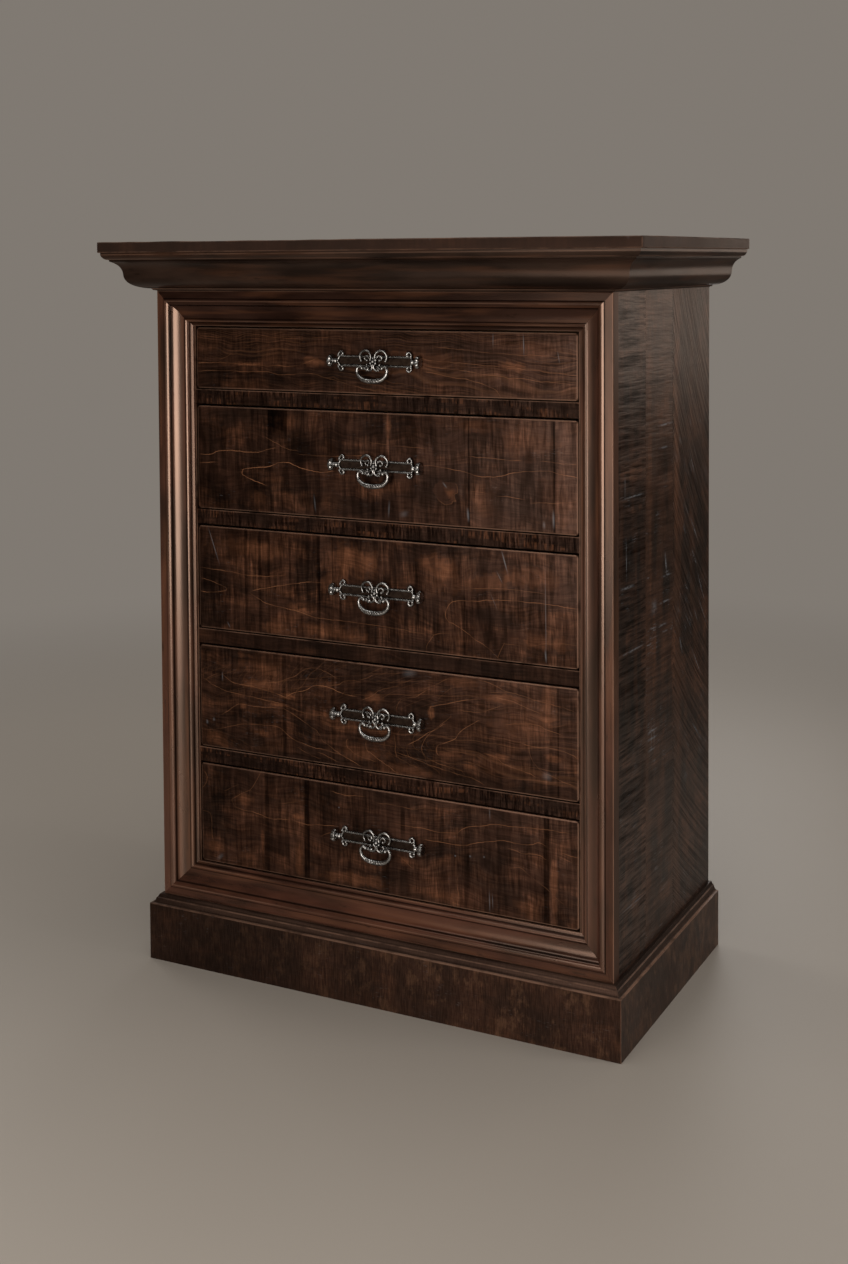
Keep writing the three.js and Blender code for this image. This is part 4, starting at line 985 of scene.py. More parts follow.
def plain_wood(name, axes, gloss=0.25, veil=0.0):
    """Case boards that hardly show."""
    finish = Finish(f"maple_{name}")
    look = {"streaks": 0.12, "columns": 0.10, "narrow": 0.10, "ticks": 0.14, "warmth": 0.35}
    colour, height, spot, *_ = maple(finish, axes, shift_of(name), look)
    colour = scuffed(finish, finish.mixed(veil, colour, TOP_BROWN), spot, 0.25)
    # Pink edges: partly wear, partly painted highlight
    edge = edge_share(finish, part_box(name), EDGE_REACH)
    patchy = finish.rise(finish.noise(finish.place, WEAR_SIZES, 3.0, 0.7), 0.30, 0.6)
    colour = finish.mixed(edge * patchy * 0.35, colour, WEAR_AND_HIGHLIGHT_PINK)
    roughness = finish.between(finish.noise(spot, GLOSS_SIZES, 3.0), 0.36, 0.55)
    return lacquered(finish, colour, roughness, height, PLAIN_BUMP, gloss)


# Plinth: sizes of its marks, and how far wear and painted highlight, and stain and painted shade, reach from
# a line
PLINTH_SAW_SIZES = (0.0026, 0.030, 1.0)
SPECK_SIZES = (0.0030, 0.0030, 0.0030)
CAP_SIZES = (0.20, 0.02, 0.1)
CAP_START, CAP_END = -0.002, 0.001
PLINTH_LINE_REACH = 0.002
CORNER_REACH = 0.0012


def plinth_wood(name, axes, lines, cap_height):
    """Plinth boards: dark brown, painted lighter towards the right and darker towards the left, with fine
    upright saw marks below a smooth moulded cap.
    """
    finish = Finish(f"plinth_{name}")
    parts = finish.parts(finish.place)
    look = {
        "streaks": 0.12, "columns": 0.10, "narrow": 0.12, "ticks": 0.34, "warmth": 0.42,
        "slant": 0.35 if axes[0] == Y else 0.03
    }
    colour, height, spot, *_ = maple(finish, axes, shift_of(name), look)
    cap = finish.rise(parts[Z], cap_height + CAP_START, cap_height + CAP_END)
    colour = finish.mixed(0.35, colour, PLINTH_BROWN)
    # Painted light: the board lightens and its ochre mottle shows towards the right, and it darkens towards
    # the left
    ochre = finish.rise(finish.noise(finish.place, OCHRE_SIZES, 5.0, 0.72), 0.50, 0.64)
    rightwards = finish.rise(parts[X], -0.45, 0.25)
    colour = finish.mixed(ochre * finish.between(rightwards, 0.25, 0.55), colour, PLINTH_OCHRE)
    colour = finish.shaded(colour, finish.between(rightwards, 0.5, 1.1))
    sawn = finish.rise(finish.noise(spot, PLINTH_SAW_SIZES, 3.0, 0.7), 0.36, 0.64)
    colour = finish.shaded(colour, finish.between(sawn, 0.72, 1.25))
    speck = finish.rise(finish.noise(finish.place, SPECK_SIZES, 1.0), 0.78, 0.84)
    colour = finish.mixed(speck * 0.45, colour, SCUFF_AND_GLINT_GREY)
    drift = finish.noise(spot, CAP_SIZES, 3.0)
    colour = finish.mixed(
        cap, colour, finish.mixed(finish.rise(drift, 0.36, 0.64), CROWN_DARK, CROWN_LIGHT)
    )
    colour = scuffed(finish, colour, spot, 0.3)
    patchy = finish.rise(finish.noise(finish.place, WEAR_SIZES, 3.0, 0.7), 0.30, 0.58)
    # Arrises pink, partly wear and partly painted highlight; quirks dark, partly stain and partly painted
    # shade
    arrises, quirks = lines
    for arris in arrises:
        colour = finish.mixed(
            finish.near(parts[Z], arris, PLINTH_LINE_REACH) * (patchy * 0.3), colour, WEAR_AND_HIGHLIGHT_PINK
        )
    for quirk in quirks:
        colour = finish.mixed(finish.near(parts[Z], quirk, PLINTH_LINE_REACH) * 0.9, colour, BLACK_BROWN)
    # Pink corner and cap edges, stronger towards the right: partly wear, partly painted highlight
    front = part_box("plinth_right" if axes[0] == Y else "plinth_front")[0][Y]
    corner = finish.near(abs(parts[X]), PLINTH_HALF, CORNER_REACH)
    corner = corner * finish.near(parts[Y], front, CORNER_REACH)
    edge = finish.most(corner, finish.near(parts[Z], cap_height, CORNER_REACH))
    worn = finish.between(patchy, 0.2, 0.55) * finish.between(rightwards, 0.3, 1.0)
    edge = edge * worn
    colour = finish.mixed(edge, colour, WEAR_AND_HIGHLIGHT_PINK)
    roughness = finish.between(finish.noise(spot, GLOSS_SIZES, 3.0), 0.34, 0.50)
    return lacquered(finish, colour, roughness, height, FRONT_BUMP, finish.between(sawn, 0.22, 0.34))


# Clear finished wood inside the drawers
PALE_MAPLE = (0.50, 0.33, 0.175, 1)
HONEY_MAPLE = (0.36, 0.205, 0.095, 1)
PALE_LINE = (0.27, 0.145, 0.065, 1)
INNER_SWAY_SIZES = (0.4, 0.11, 0.25)
INNER_TONE_SIZES = (0.33, 0.038, 0.05)
INNER_RING_SIZES = (0.83, 0.083, 0.125)
INNER_FIBRE_SIZES = (0.033, 0.0014, 0.0025)
INNER_EDGE_REACH = 0.002


def inner_wood(name, axes):
    finish = Finish(f"inner_{name}")
    along, across, depth = grain_places(finish, axes, shift_of(name))
    spot = finish.vector(along, across, depth)
    sway = finish.noise(spot, INNER_SWAY_SIZES, 2.0) - 0.5
    flowing = finish.vector(along, across + sway * 0.03, depth)
    tone = finish.noise(flowing, INNER_TONE_SIZES, 3.0, 0.6)
    rings = finish.noise(flowing, INNER_RING_SIZES, 1.0, 0.5)
    fibre = finish.noise(flowing, INNER_FIBRE_SIZES, 2.0, 0.6)
    colour = finish.mixed(finish.rise(tone, 0.35, 0.65), HONEY_MAPLE, PALE_MAPLE)
    colour = finish.mixed(finish.contour(rings, 0.0625, 0.009) * 0.45, colour, PALE_LINE)
    colour = finish.shaded(colour, finish.between(fibre, 0.85, 1.12))
    edge = edge_share(finish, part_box(name), INNER_EDGE_REACH)
    colour = finish.mixed(edge * 0.25, colour, HONEY_MAPLE)
    return lacquered(finish, colour, finish.between(tone, 0.42, 0.6), fibre + tone, INNER_BUMP)


CAST_SIZES = (0.0016, 0.0016, 0.0016)
STAIN_SIZES = (0.007, 0.007, 0.007)


def cast_metal(name, dark, light, roughness):
    """Cast metal with a stained, rubbed skin."""
    finish = Finish(name)
    cast = finish.noise(finish.place, CAST_SIZES, 3.0, 0.6)
    stain = finish.noise(finish.place, STAIN_SIZES, 3.0, 0.6)
    finish.put(
        finish.surface.inputs["Base Color"], finish.mixed(finish.rise(stain, 0.36, 0.60), dark, light)
    )
    finish.surface.inputs["Metallic"].default_value = 1.0
    finish.put(finish.surface.inputs["Roughness"], finish.between(stain, roughness + 0.14, roughness))
    finish.bumped(cast, CAST_BUMP)
    return finish.material


def room(work):
    """The plain room behind the chest: dimmer in reflections, and a weak fill for all other rays."""
    light_path = work.add("ShaderNodeLightPath").outputs
    direct = work.most(light_path["Is Camera Ray"], light_path["Is Transmission Ray"])
    colour = work.mixed(light_path["Is Glossy Ray"], FILL_LIGHT, REFLECTED)
    return work.mixed(direct, colour, BACKGROUND)


def make_stage():
    mesh = bpy.data.meshes.new("floor")
    shape = bmesh.new()
    bmesh.ops.create_circle(shape, cap_ends=True, segments=96, radius=FLOOR_RADIUS)
    shape.to_mesh(mesh)
    shape.free()
    floor = bpy.data.objects.new("floor", mesh)
    bpy.context.collection.objects.link(floor)
    finish = Finish("floor")
    parts = finish.parts(finish.place)
    fade = finish.rise(finish.distance(parts[X], parts[Y]), FADE_START, FADE_END)
    mottle = finish.noise(finish.place, MOTTLE_SIZES, 3.0)
    finish.put(finish.surface.inputs["Base Color"], finish.mixed(mottle * 0.1, FLOOR_COLOUR, BACKGROUND))
    finish.surface.inputs["Roughness"].default_value = 0.5
    glow = finish.add("ShaderNodeEmission", {"Color": room(finish)})
    mix = finish.add("ShaderNodeMixShader", {0: fade, 1: finish.surface.outputs[0], 2: glow.outputs[0]})
    finish.put(finish.nodes["Material Output"].inputs["Surface"], mix.outputs[0])
    mesh.materials.append(finish.material)

    world = bpy.data.worlds.new("studio")
    world.use_nodes = True
    work = NodeWork(world.node_tree)
    work.put(work.nodes["Background"].inputs["Color"], room(work))
    bpy.context.scene.world = world
    bpy.context.scene.view_settings.view_transform = "Standard"


def make_lamps():
    for name, (place, aim, width, height, power, colour) in LAMPS.items():
        lamp = bpy.data.lights.new(name, "AREA")
        lamp.shape = "RECTANGLE"
        lamp.size, lamp.size_y = width, height
        lamp.energy = power
        lamp.color = colour
        holder = bpy.data.objects.new(name, lamp)
        holder.location = place
        holder.rotation_euler = (Vector(aim) - Vector(place)).to_track_quat("-Z", "Y").to_euler()
        holder.visible_camera = False
        bpy.context.collection.objects.link(holder)


def paint(name, material):
    """Gives a CAD node its material."""
    slots = cad_nodes[name].data.materials
    slots.clear()
    slots.append(material)


def profile(shares, width, height, steps):
    """Points of a profile drawn in shares of its width and height.
    Two numbers are a straight line to a point, six are a curve with its two guides and its end."""
    points = []
    for share in shares:
        sized = [value * (height if index % 2 else width) for index, value in enumerate(share)]
        if len(sized) == 2:
            points.append(Vector(sized))
            continue
        start = points[-1]
        guide_1, guide_2, end = Vector(sized[0:2]), Vector(sized[2:4]), Vector(sized[4:6])
        for step in range(1, steps + 1):
            t = step / steps
            s = 1 - t
            points.append(s**3 * start + 3 * s * s * t * guide_1 + 3 * s * t * t * guide_2 + t**3 * end)
    return points


def finished_mesh(name, shape, materials, smooth_degrees=30):
    bmesh.ops.recalc_face_normals(shape, faces=shape.faces)
    mesh = bpy.data.meshes.new(name)
    shape.to_mesh(mesh)
    shape.free()
    mesh.polygons.foreach_set("use_smooth", [True] * len(mesh.polygons))
    mesh.set_sharp_from_angle(angle=math.radians(smooth_degrees))
    for material in materials:
        mesh.materials.append(material)
    return mesh


def add_piece(name, mesh, body, replaced, place=(0, 0, 0)):
    """Puts a mesh in its place, gives it its body and hides the nodes that it stands for."""
    piece = bpy.data.objects.new(name, mesh)
    piece.location = place
    bpy.context.collection.objects.link(piece)
    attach(piece, body)
    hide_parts(*replaced)


def new_piece(name, shape, material, body, replaced):
    add_piece(name, finished_mesh(name, shape, [material]), body, replaced)


def joined_rings(shape, rings):
    """Faces between rings of points, and one at each end."""
    count = len(rings[0])
    faces = [shape.faces.new(rings[0]), shape.faces.new(rings[-1])]
    for ring, following in zip(rings, rings[1:]):
        for index in range(count):
            after = (index + 1) % count
            faces.append(shape.faces.new((ring[index], ring[after], following[after], following[index])))
    return faces


def swept(points, place, start, end, stations):
    """A bar of one profile. place(across, up, along) gives a point, start and end give where it is cut."""
    shape = bmesh.new()
    rings = []
    for station in range(stations + 1):
        share = station / stations
        ring = []
        for point in points:
            along = (1 - share) * start(point.x) + share * end(point.x)
            ring.append(shape.verts.new(place(point.x, point.y, along)))
        rings.append(ring)
    joined_rings(shape, rings)
    return shape


# Boards with eased edges and rounded corners
EASE_STEPS = 6
CORNER_STEPS = 6
EDGE_STEP = 0.012
WAVE_SIZE = 0.045
SMALLEST_RADIUS = 0.0002


def board_outline(half, low, high, corner, inset):
    """Points round a board with rounded corners, drawn in from its edges."""
    radius = max(corner - inset, SMALLEST_RADIUS)
    middles = [
        (half - corner, high - corner), (corner - half, high - corner), (corner - half, low + corner),
        (half - corner, low + corner)
    ]
    points = []
    for quarter, middle in enumerate(middles):
        for step in range(CORNER_STEPS + 1):
            angle = math.radians(90 * (quarter + step / CORNER_STEPS))
            points.append(
                Vector((middle[0] + radius * math.cos(angle), middle[1] + radius * math.sin(angle)))
            )
        following = middles[(quarter + 1) % len(middles)]
        start = points[-1]
        angle = math.radians(90 * (quarter + 1))
        end = Vector((following[0] + radius * math.cos(angle), following[1] + radius * math.sin(angle)))
        steps = max(2, round((end - start).length / EDGE_STEP))
        points.extend(start.lerp(end, step / steps) for step in range(1, steps))
    return points


def eased_board(shape, half, low, high, corner, ease, thickness, place, wear, both=False):
    """A closed board. place(across, up, depth) gives a point, wear is how far its front edge is worn."""
    levels = []
    for step in range(EASE_STEPS + 1):
        angle = math.radians(90 * step / EASE_STEPS)
        levels.append((ease * (1 - math.sin(angle)), ease * (1 - math.cos(angle)), math.cos(angle)))
    if both:
        levels += [(inset, thickness - depth, 0.0) for inset, depth, _ in reversed(levels)]
    else:
        levels.append((0, thickness, 0.0))
    count = len(board_outline(half, low, high, corner, ease))
    rings = []
    for inset, depth, worn in levels:
        outline = board_outline(half, low, high, corner, inset)
        ring = []
        for point in outline:
            spot = place(point.x, point.y, 0)
            wave = 0.5 + 0.5 * noise.noise(spot / WAVE_SIZE)
            deep = depth + wear * worn * wave * wave
            ring.append(shape.verts.new(place(point.x, point.y, deep)))
        rings.append(ring)
    joined_rings(shape, rings)


# Profiles: the same shares as the solids, drawn finer
PROFILE_STEPS = 14
MOULDING_STATIONS, FRONT_STATIONS, SIDE_STATIONS = 60, 80, 40
MOULDING_SHARES = (
    (0, 1), (0, 0.07), (0, 0.03, 0.012, 0, 0.03, 0), (0.225, 0), (0.24, -0.07),
    (0.3, -0.115, 0.392, -0.085, 0.413, 0.12), (0.44, 0.42, 0.6, 0.53, 0.79, 0.56),
    (0.84, 0.5, 0.9, 0.62, 0.908, 0.86), (1, 0.92), (1, 1),
)
MOULDING_ARRISES = (0.012, 0.30, 0.86, 0.99)
MOULDING_QUIRKS = (0.230, 0.416, 0.797, 0.917)
CROWN_SHARES = (
    (0, 0), (0.065, 0.014), (0.1, 0.055), (0.36, 0.075, 0.585, 0.18, 0.597, 0.42),
    (
        0.61, 0.6, 0.68, 0.7, 0.84, 0.77
    ), (0.85, 0.81), (0.9, 0.82), (0.94, 0.83, 1, 0.9, 1, 0.96), (1, 1), (0, 1),
)
CROWN_ARRISES = (0.05, 0.83, 0.95)
CROWN_QUIRKS = (0.075, 0.785)
PLINTH_SHARES = (
    (0, 0), (1, 0), (1, 0.87), (0.82, 0.872), (0.7, 0.88, 0.6, 0.9, 0.55, 0.945), (0.44, 0.957),
    (0.4, 0.97, 0.36, 0.99, 0.29, 1), (0, 1),
)
PLINTH_ARRISES = (0.868, 0.948)
PLINTH_QUIRKS = (0.881, 0.962)


def make_frame_moulding():
    low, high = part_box("frame_moulding_left")
    width = high[X] - low[X]
    depth = STILE_FRONT - BODY_FRONT
    points = profile(MOULDING_SHARES, width, depth, PROFILE_STEPS)
    lines = [
        [BODY_HALF - share * width for share in shares] for shares in (MOULDING_ARRISES, MOULDING_QUIRKS)
    ]
    top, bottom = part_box("frame_moulding_top")[1][Z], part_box("frame_moulding_bottom")[0][Z]
    for side, sign in LEFT_RIGHT:
        name = f"frame_moulding_{side}"
        shape = swept(
            points,
            lambda across, up, along, sign=sign: Vector(
                (sign * (BODY_HALF - across), BODY_FRONT + up, along)
            ),
            lambda across: bottom + across,
            lambda across: top - across,
            MOULDING_STATIONS,
        )
        material = smooth_wood(
            name, (Z, X, Y), lines, X, (MOULDING_DARK, MOULDING_LIGHT), 0.5, index=1.7, dull=0.04
        )
        new_piece(f"{name}_dressed", shape, material, "case", (name,))
    # The top moulding gets darker tones than the bottom one: painted shade, as its profile faces down under
    # the top
    tones = {"top": (MOULDING_DARK, MOULDING_MIDDLE), "bottom": (MOULDING_DARK, MOULDING_LIGHT)}
    for level, edge, inwards, gloss in (("top", top, -1, 0.18), ("bottom", bottom, 1, 0.65)):
        name = f"frame_moulding_{level}"
        shape = swept(
            points,
            lambda across, up, along, edge=edge, inwards=inwards: Vector(
                (along, BODY_FRONT + up, edge + inwards * across)
            ),
            lambda across: across - BODY_HALF,
            lambda across: BODY_HALF - across,
            MOULDING_STATIONS,
        )
        levels = [
            [
                edge + inwards * share * width for share in shares
            ] for shares in (MOULDING_ARRISES, MOULDING_QUIRKS)
        ]
        material = smooth_wood(name, (X, Z, Y), levels, Z, tones[level], gloss=gloss)
        new_piece(f"{name}_dressed", shape, material, "case", (name,))


CAP_SHARE = 0.87


def round_moulding_wood(kind, name, axes, levels):
    if kind == "plinth":
        low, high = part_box("plinth_front")
        return plinth_wood(name, axes, levels, low[Z] + CAP_SHARE * (high[Z] - low[Z]))
    return smooth_wood(
        name, axes, levels, Z, (CROWN_DARK, CROWN_LIGHT), 0.2, 0.3 if axes[0] == X else 0.12, dull=0.07
    )


def make_round_moulding(name, shares, lines, width, bottom, height):
    """A moulding round the front and both sides, mitred at the corners."""
    points = profile(shares, width, height, PROFILE_STEPS)
    levels = [[bottom + share * height for share in kind] for kind in lines]
    shape = swept(
        points,
        lambda out, up, along: Vector((along, BODY_FRONT - out, bottom + up)),
        lambda out: -BODY_HALF - out,
        lambda out: BODY_HALF + out,
        FRONT_STATIONS,
    )
    material = round_moulding_wood(name, f"{name}_front", (X, Z, Y), levels)
    new_piece(f"{name}_front_dressed", shape, material, "case", (f"{name}_front",))
    for side, sign in LEFT_RIGHT:
        shape = swept(
            points,
            lambda out, up, along, sign=sign: Vector((sign * (BODY_HALF + out), along, bottom + up)),
            lambda out: BODY_FRONT - out,
            lambda out: BODY_BACK,
            SIDE_STATIONS,
        )
        material = round_moulding_wood(name, f"{name}_{side}", (Y, Z, X), levels)
        new_piece(f"{name}_{side}_dressed", shape, material, "case", (f"{name}_{side}",))


TOP_CORNER = 0.003
TOP_EASE = 0.0022
TOP_WEAR = 0.0022


def make_top_board():
    low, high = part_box("top_board")
    shape = bmesh.new()
    eased_board(
        shape, high[X], low[Y], high[Y], TOP_CORNER, TOP_EASE, high[Z] - low[Z],
        lambda across, up, depth: Vector((across, up, high[Z] - depth)), TOP_WEAR, both=True,
    )
    material = plain_wood("top_board", (X, Y, Z), 0.12, 0.65)
    new_piece("top_board_dressed", shape, material, "case", ("top_board",))


def dress_case():
    make_frame_moulding()
    make_top_board()
    low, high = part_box("crown_right")
    make_round_moulding(
        "crown", CROWN_SHARES, (CROWN_ARRISES, CROWN_QUIRKS), high[X] - BODY_HALF, low[Z], high[Z] - low[Z],
    )
    low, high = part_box("plinth_right")
    make_round_moulding(
        "plinth", PLINTH_SHARES, (PLINTH_ARRISES, PLINTH_QUIRKS), high[X] - BODY_HALF, low[Z],
        high[Z] - low[Z]
    )
    for side, _ in LEFT_RIGHT:
        paint(f"side_panel_{side}", panel_wood(f"side_panel_{side}"))
        paint(f"stile_{side}", plain_wood(f"stile_{side}", (Z, X, Y)))
    paint("back_panel", plain_wood("back_panel", (Z, X, Y)))
    for name in ("top_rail", "bottom_rail", "base_board"):
        paint(name, plain_wood(name, (X, Z, Y)))
    for number in DRAWERS:
        paint(f"web_frame_{number}", rail_wood(f"web_frame_{number}"))
    paint("kicker_frame", inner_wood("kicker_frame", (X, Y, Z)))


# Drawer fronts: an eased slab over the rear part of the front, which keeps its dovetail sockets and groove
FRONT_EASE = 0.003
FRONT_CORNER = 0.0065
FRONT_WEAR = 0.0006
SLAB_DEPTH = 0.008
SEAM_LAP = 0.0005


def make_drawer_front(number):
    name = f"drawer_{number}_front"
    low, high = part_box(name)
    shape = bmesh.new()
    shape.from_mesh(cad_nodes[name].data)
    bmesh.ops.bisect_plane(
        shape, geom=[*shape.verts, *shape.edges, *shape.faces], dist=1e-6,
        plane_co=(0, low[Y] + SLAB_DEPTH - SEAM_LAP, 0), plane_no=(0, 1, 0), clear_inner=True,
    )
    eased_board(
        shape, high[X], low[Z], high[Z], FRONT_CORNER, FRONT_EASE, SLAB_DEPTH,
        lambda across, up, depth: Vector((across, low[Y] + depth, up)), FRONT_WEAR,
    )
    new_piece(
        f"{name}_dressed", shape, front_wood(number), f"drawer_{number}", (name,)
    )


# Bail pull, drawn round the middle of its bar: the solids' sizes with finer shapes
BAR_HALF = 0.078
BAR_HEIGHT = 0.0215
BAR_DEPTH = 0.0065
BAR_SHARES = (
    (-0.5, 0), (-0.5, 0.55), (-0.5, 0.84, -0.46, 1, -0.405, 1), (-0.35, 1, -0.315, 0.84, -0.305, 0.6),
    (-0.28, 0.46), (0, 0.5), (0.28, 0.46), (0.305, 0.6), (
        0.315, 0.84, 0.35, 1, 0.405, 1
    ), (0.46, 1, 0.5, 0.84, 0.5, 0.55), (0.5, 0),
)
BRACKET_HALF = 0.0175
BRACKET_REACH = 0.0105
BRACKET_TUBE = 0.002
BRACKET_SHARES = (
    # outwards, upwards, thickness
    (0.16, 0.60, 0.9), (
        -0.02, 0.72, 1.2
    ), (0.08, 0.92, 1.25), (0.5, 1, 1.0), (0.85, 0.72, 0.85), (0.72, 0.42, 0.8), (1, 0.1, 1.15),
    (1, -0.1, 1.15), (0.72, -0.42, 0.8), (
        0.85, -0.72, 0.85
    ), (0.5, -1, 1.0), (0.08, -0.92, 1.25), (-0.02, -0.72, 1.2), (0.16, -0.60, 0.9),
)
BRACKET_BEADS = (
    # outwards, upwards, radius
    (0.10, 0.62, 1.5), (0.10, -0.62, 1.5), (0.82, 0.62, 1.3), (0.82, -0.62, 1.3), (1.02, 0, 1.75),
)
TRIM_DEPTH = 0.005
FINIAL_ROOT = 0.078
FINIAL_RADIUS = 0.0115
FINIAL_OUT = 0.0085
FINIAL_STOPS = (
    # along, radius, depth of its flutes
    (0, 0.42, 0), (0.14, 0.48, 0), (0.28, 0.38, 0), (
        0.42, 0.46, 0.02
    ), (0.52, 0.88, 0.10), (0.64, 1.0, 0.12),
    (0.80, 1.0, 0.12), (0.90, 0.94, 0.10), (0.97, 0.74, 0.05), (1.0, 0.35, 0),
)
FINIAL_FLUTES = 12
KNOT_DEPTH = 0.0128
SCROLL_TUBE = 0.0022
LOOPS = {
    # across, up, radius, first and last angle, thickness along it
    "upper": (0.0162, 0.0085, 0.0120, 212, -38, (0.75, 0.85, 1.0, 1.08, 1.08, 0.95, 0.8, 0.95)),
    "upper_curl": (0.0135, 0.0065, 0.0045, 175, -95, (0.5, 0.55, 0.6, 0.65, 0.7, 0.8)),
    "lower": (0.0080, -0.0100, 0.0066, 118, 395, (0.75, 0.85, 0.95, 1.0, 1.0, 0.95, 0.8, 0.7)),
}
LEAF = (0.0112, -0.0148, 0.0024, 0.0046, math.radians(-52))
BEAD_COUNT = 6
BEAD_RING = 0.0062
BEAD_RADIUS = 0.0027
EYE_RADIUS = 0.0036
BOSS_RADIUS = 0.0076
BOSS_STOPS = ((0, 1.0, 0), (0.3, 0.86, 0), (0.6, 0.8, 0), (0.85, 0.62, 0), (1.0, 0.3, 0))
BOSS_DEPTH = 0.0122
PIVOT_DEPTH = 0.016
EAR_INNER, EAR_OUTER = 0.0126, 0.017
EAR_RADIUS = 0.0034
EAR_STOPS = ((0, 0.8, 0), (0.1, 0.97, 0), (0.3, 1.0, 0), (0.7, 1.0, 0), (0.9, 0.97, 0), (1.0, 0.8, 0))
STRUT_RADIUS = 0.0021
PIN_RADIUS = 0.0014
BALL_RADIUS = 0.0035
BAIL_HALF_WIDTH = 0.034
BAIL_DROP = 0.029
BAIL_RADIUS = 0.005
BAIL_STOPS = (
    # across, down, thickness
    (0.615, 0, 0.52), (0.75, 0.093, 0.52), (0.88, 0.017, 0.54), (0.92, -0.207, 0.60), (0.84, -0.483, 0.70),
    (0.6, -0.707, 0.84), (0.29, -0.803, 0.95), (0, -0.828, 0.97),
)
CHASED_SHARE = 0.17
CHASED_DEPTH = 0.05
CHASED_TURNS = 26
STUD_ACROSS = 0.038
STUD_RADIUS = 0.0025
STUD_THREADS = 7
NUT_RADIUS = 0.005
NUT_HEIGHT = 0.004
NUT_STOPS = ((0, 0.86, 0), (0.14, 1, 0), (0.86, 1, 0), (1, 0.86, 0))
END_ANGLES = [math.radians(degrees) for degrees in (78, 52, 26)]
OUTWARDS = Vector((0, -1, 0))


def smooth_stops(stops, steps):
    """Points on a smooth line through stops of a place and a radius, or of any four numbers."""
    points = [Vector(stop) for stop in stops]
    padded = [2 * points[0] - points[1], *points, 2 * points[-1] - points[-2]]
    line = []
    for before, start, end, after in zip(padded, padded[1:], padded[2:], padded[3:]):
        for step in range(steps):
            t = step / steps
            bend = (
                2 * before - 5 * start + 4 * end - after
            ) * t**2 + (3 * start - before - 3 * end + after) * t**3
            line.append(start + 0.5 * ((end - before) * t + bend))
    return [*line, points[-1]]


def rod(shape, stops, sides=12, steps=5, chasing=None):
    """A rod with round ends through stops of a place and a radius. It lies in the plane of the pull."""
    line = smooth_stops(stops, steps)
    last = len(line) - 1
    runs = [
        (
            line[min(index + 1, last)].xyz - line[max(index - 1, 0)].xyz
        ).normalized() for index in range(last + 1)
    ]
    sections = []
    for angle in END_ANGLES:
        sections.append(
            (line[0].xyz - runs[0] * line[0].w * math.sin(angle), runs[0], line[0].w * math.cos(angle), 0)
        )
    for index, (stop, run) in enumerate(zip(line, runs)):
        sections.append((stop.xyz, run, stop.w, index / last))
    for angle in reversed(END_ANGLES):
        sections.append(
            (
                line[-1].xyz + runs[-1] * line[-1].w * math.sin(angle), runs[-1],
                line[-1].w * math.cos(angle), 1
            )
        )
    rings = []
    for middle, run, radius, share in sections:
        side = run.cross(OUTWARDS).normalized()
        front = side.cross(run)
        ring = []
        for corner in range(sides):
            turn = math.tau * corner / sides
            reach = radius * (chasing(share, turn) if chasing else 1)
            ring.append(shape.verts.new(middle + reach * (math.cos(turn) * side + math.sin(turn) * front)))
        rings.append(ring)
    joined_rings(shape, rings)


def bead(shape, place, radius, length=None, tilt=0.0):
    """A ball, or a longer drop tilted in the plane of the pull."""
    sized = Matrix.Diagonal((length or radius, radius, radius, 1))
    placed = Matrix.Translation(place) @ Matrix.Rotation(-tilt, 4, "Y") @ sized
    bmesh.ops.create_uvsphere(shape, u_segments=14, v_segments=9, radius=1, matrix=placed)


def turned(shape, stops, root, axis, length, radius, segments, flutes=0, steps=4):
    """A turned shape along an axis, from stops of a place, a radius and the depth of its flutes."""
    side = axis.orthogonal().normalized()
    front = axis.cross(side).normalized()
    sized = [(along * length, share * radius, deep, 0) for along, share, deep in stops]
    rings = []
    for along, reach, deep, _ in (smooth_stops(sized, steps) if steps else sized):
        ring = []
        for corner in range(segments):
            turn = math.tau * corner / segments
            ribbed = reach * (1 - deep * (0.5 + 0.5 * math.cos(flutes * turn)))
            ring.append(
                shape.verts.new(
                    root + axis * along + ribbed * (math.cos(turn) * side + math.sin(turn) * front)
                )
            )
        rings.append(ring)
    joined_rings(shape, rings)


def on_pull(across, up, out):
    return Vector((across, -out, up))


def loop_stops(sign, across, up, radius, first, last, thickness):
    stops = []
    for index, share in enumerate(thickness):
        turned_share = index / (len(thickness) - 1)
        angle = math.radians(first + (last - first) * turned_share)
        out = KNOT_DEPTH - 0.003 * turned_share
        place = on_pull(sign * (across + radius * math.cos(angle)), up + radius * math.sin(angle), out)
        stops.append((*place, share * SCROLL_TUBE))
    return stops


def plate_bar(shape):
    """The bar between the brackets, with its two raised rails over a dark hollow."""
    points = profile(BAR_SHARES, BAR_HEIGHT, BAR_DEPTH, 5)
    rings = []
    for end in (-BAR_HALF, -BAR_HALF / 2, 0, BAR_HALF / 2, BAR_HALF):
        rings.append([shape.verts.new(on_pull(end, point.x, point.y)) for point in points])
    for face in joined_rings(shape, rings):
        middle = face.calc_center_median()
        if abs(middle.z) < 0.3 * BAR_HEIGHT and -middle.y > 0.3 * BAR_DEPTH:
            face.material_index = 1


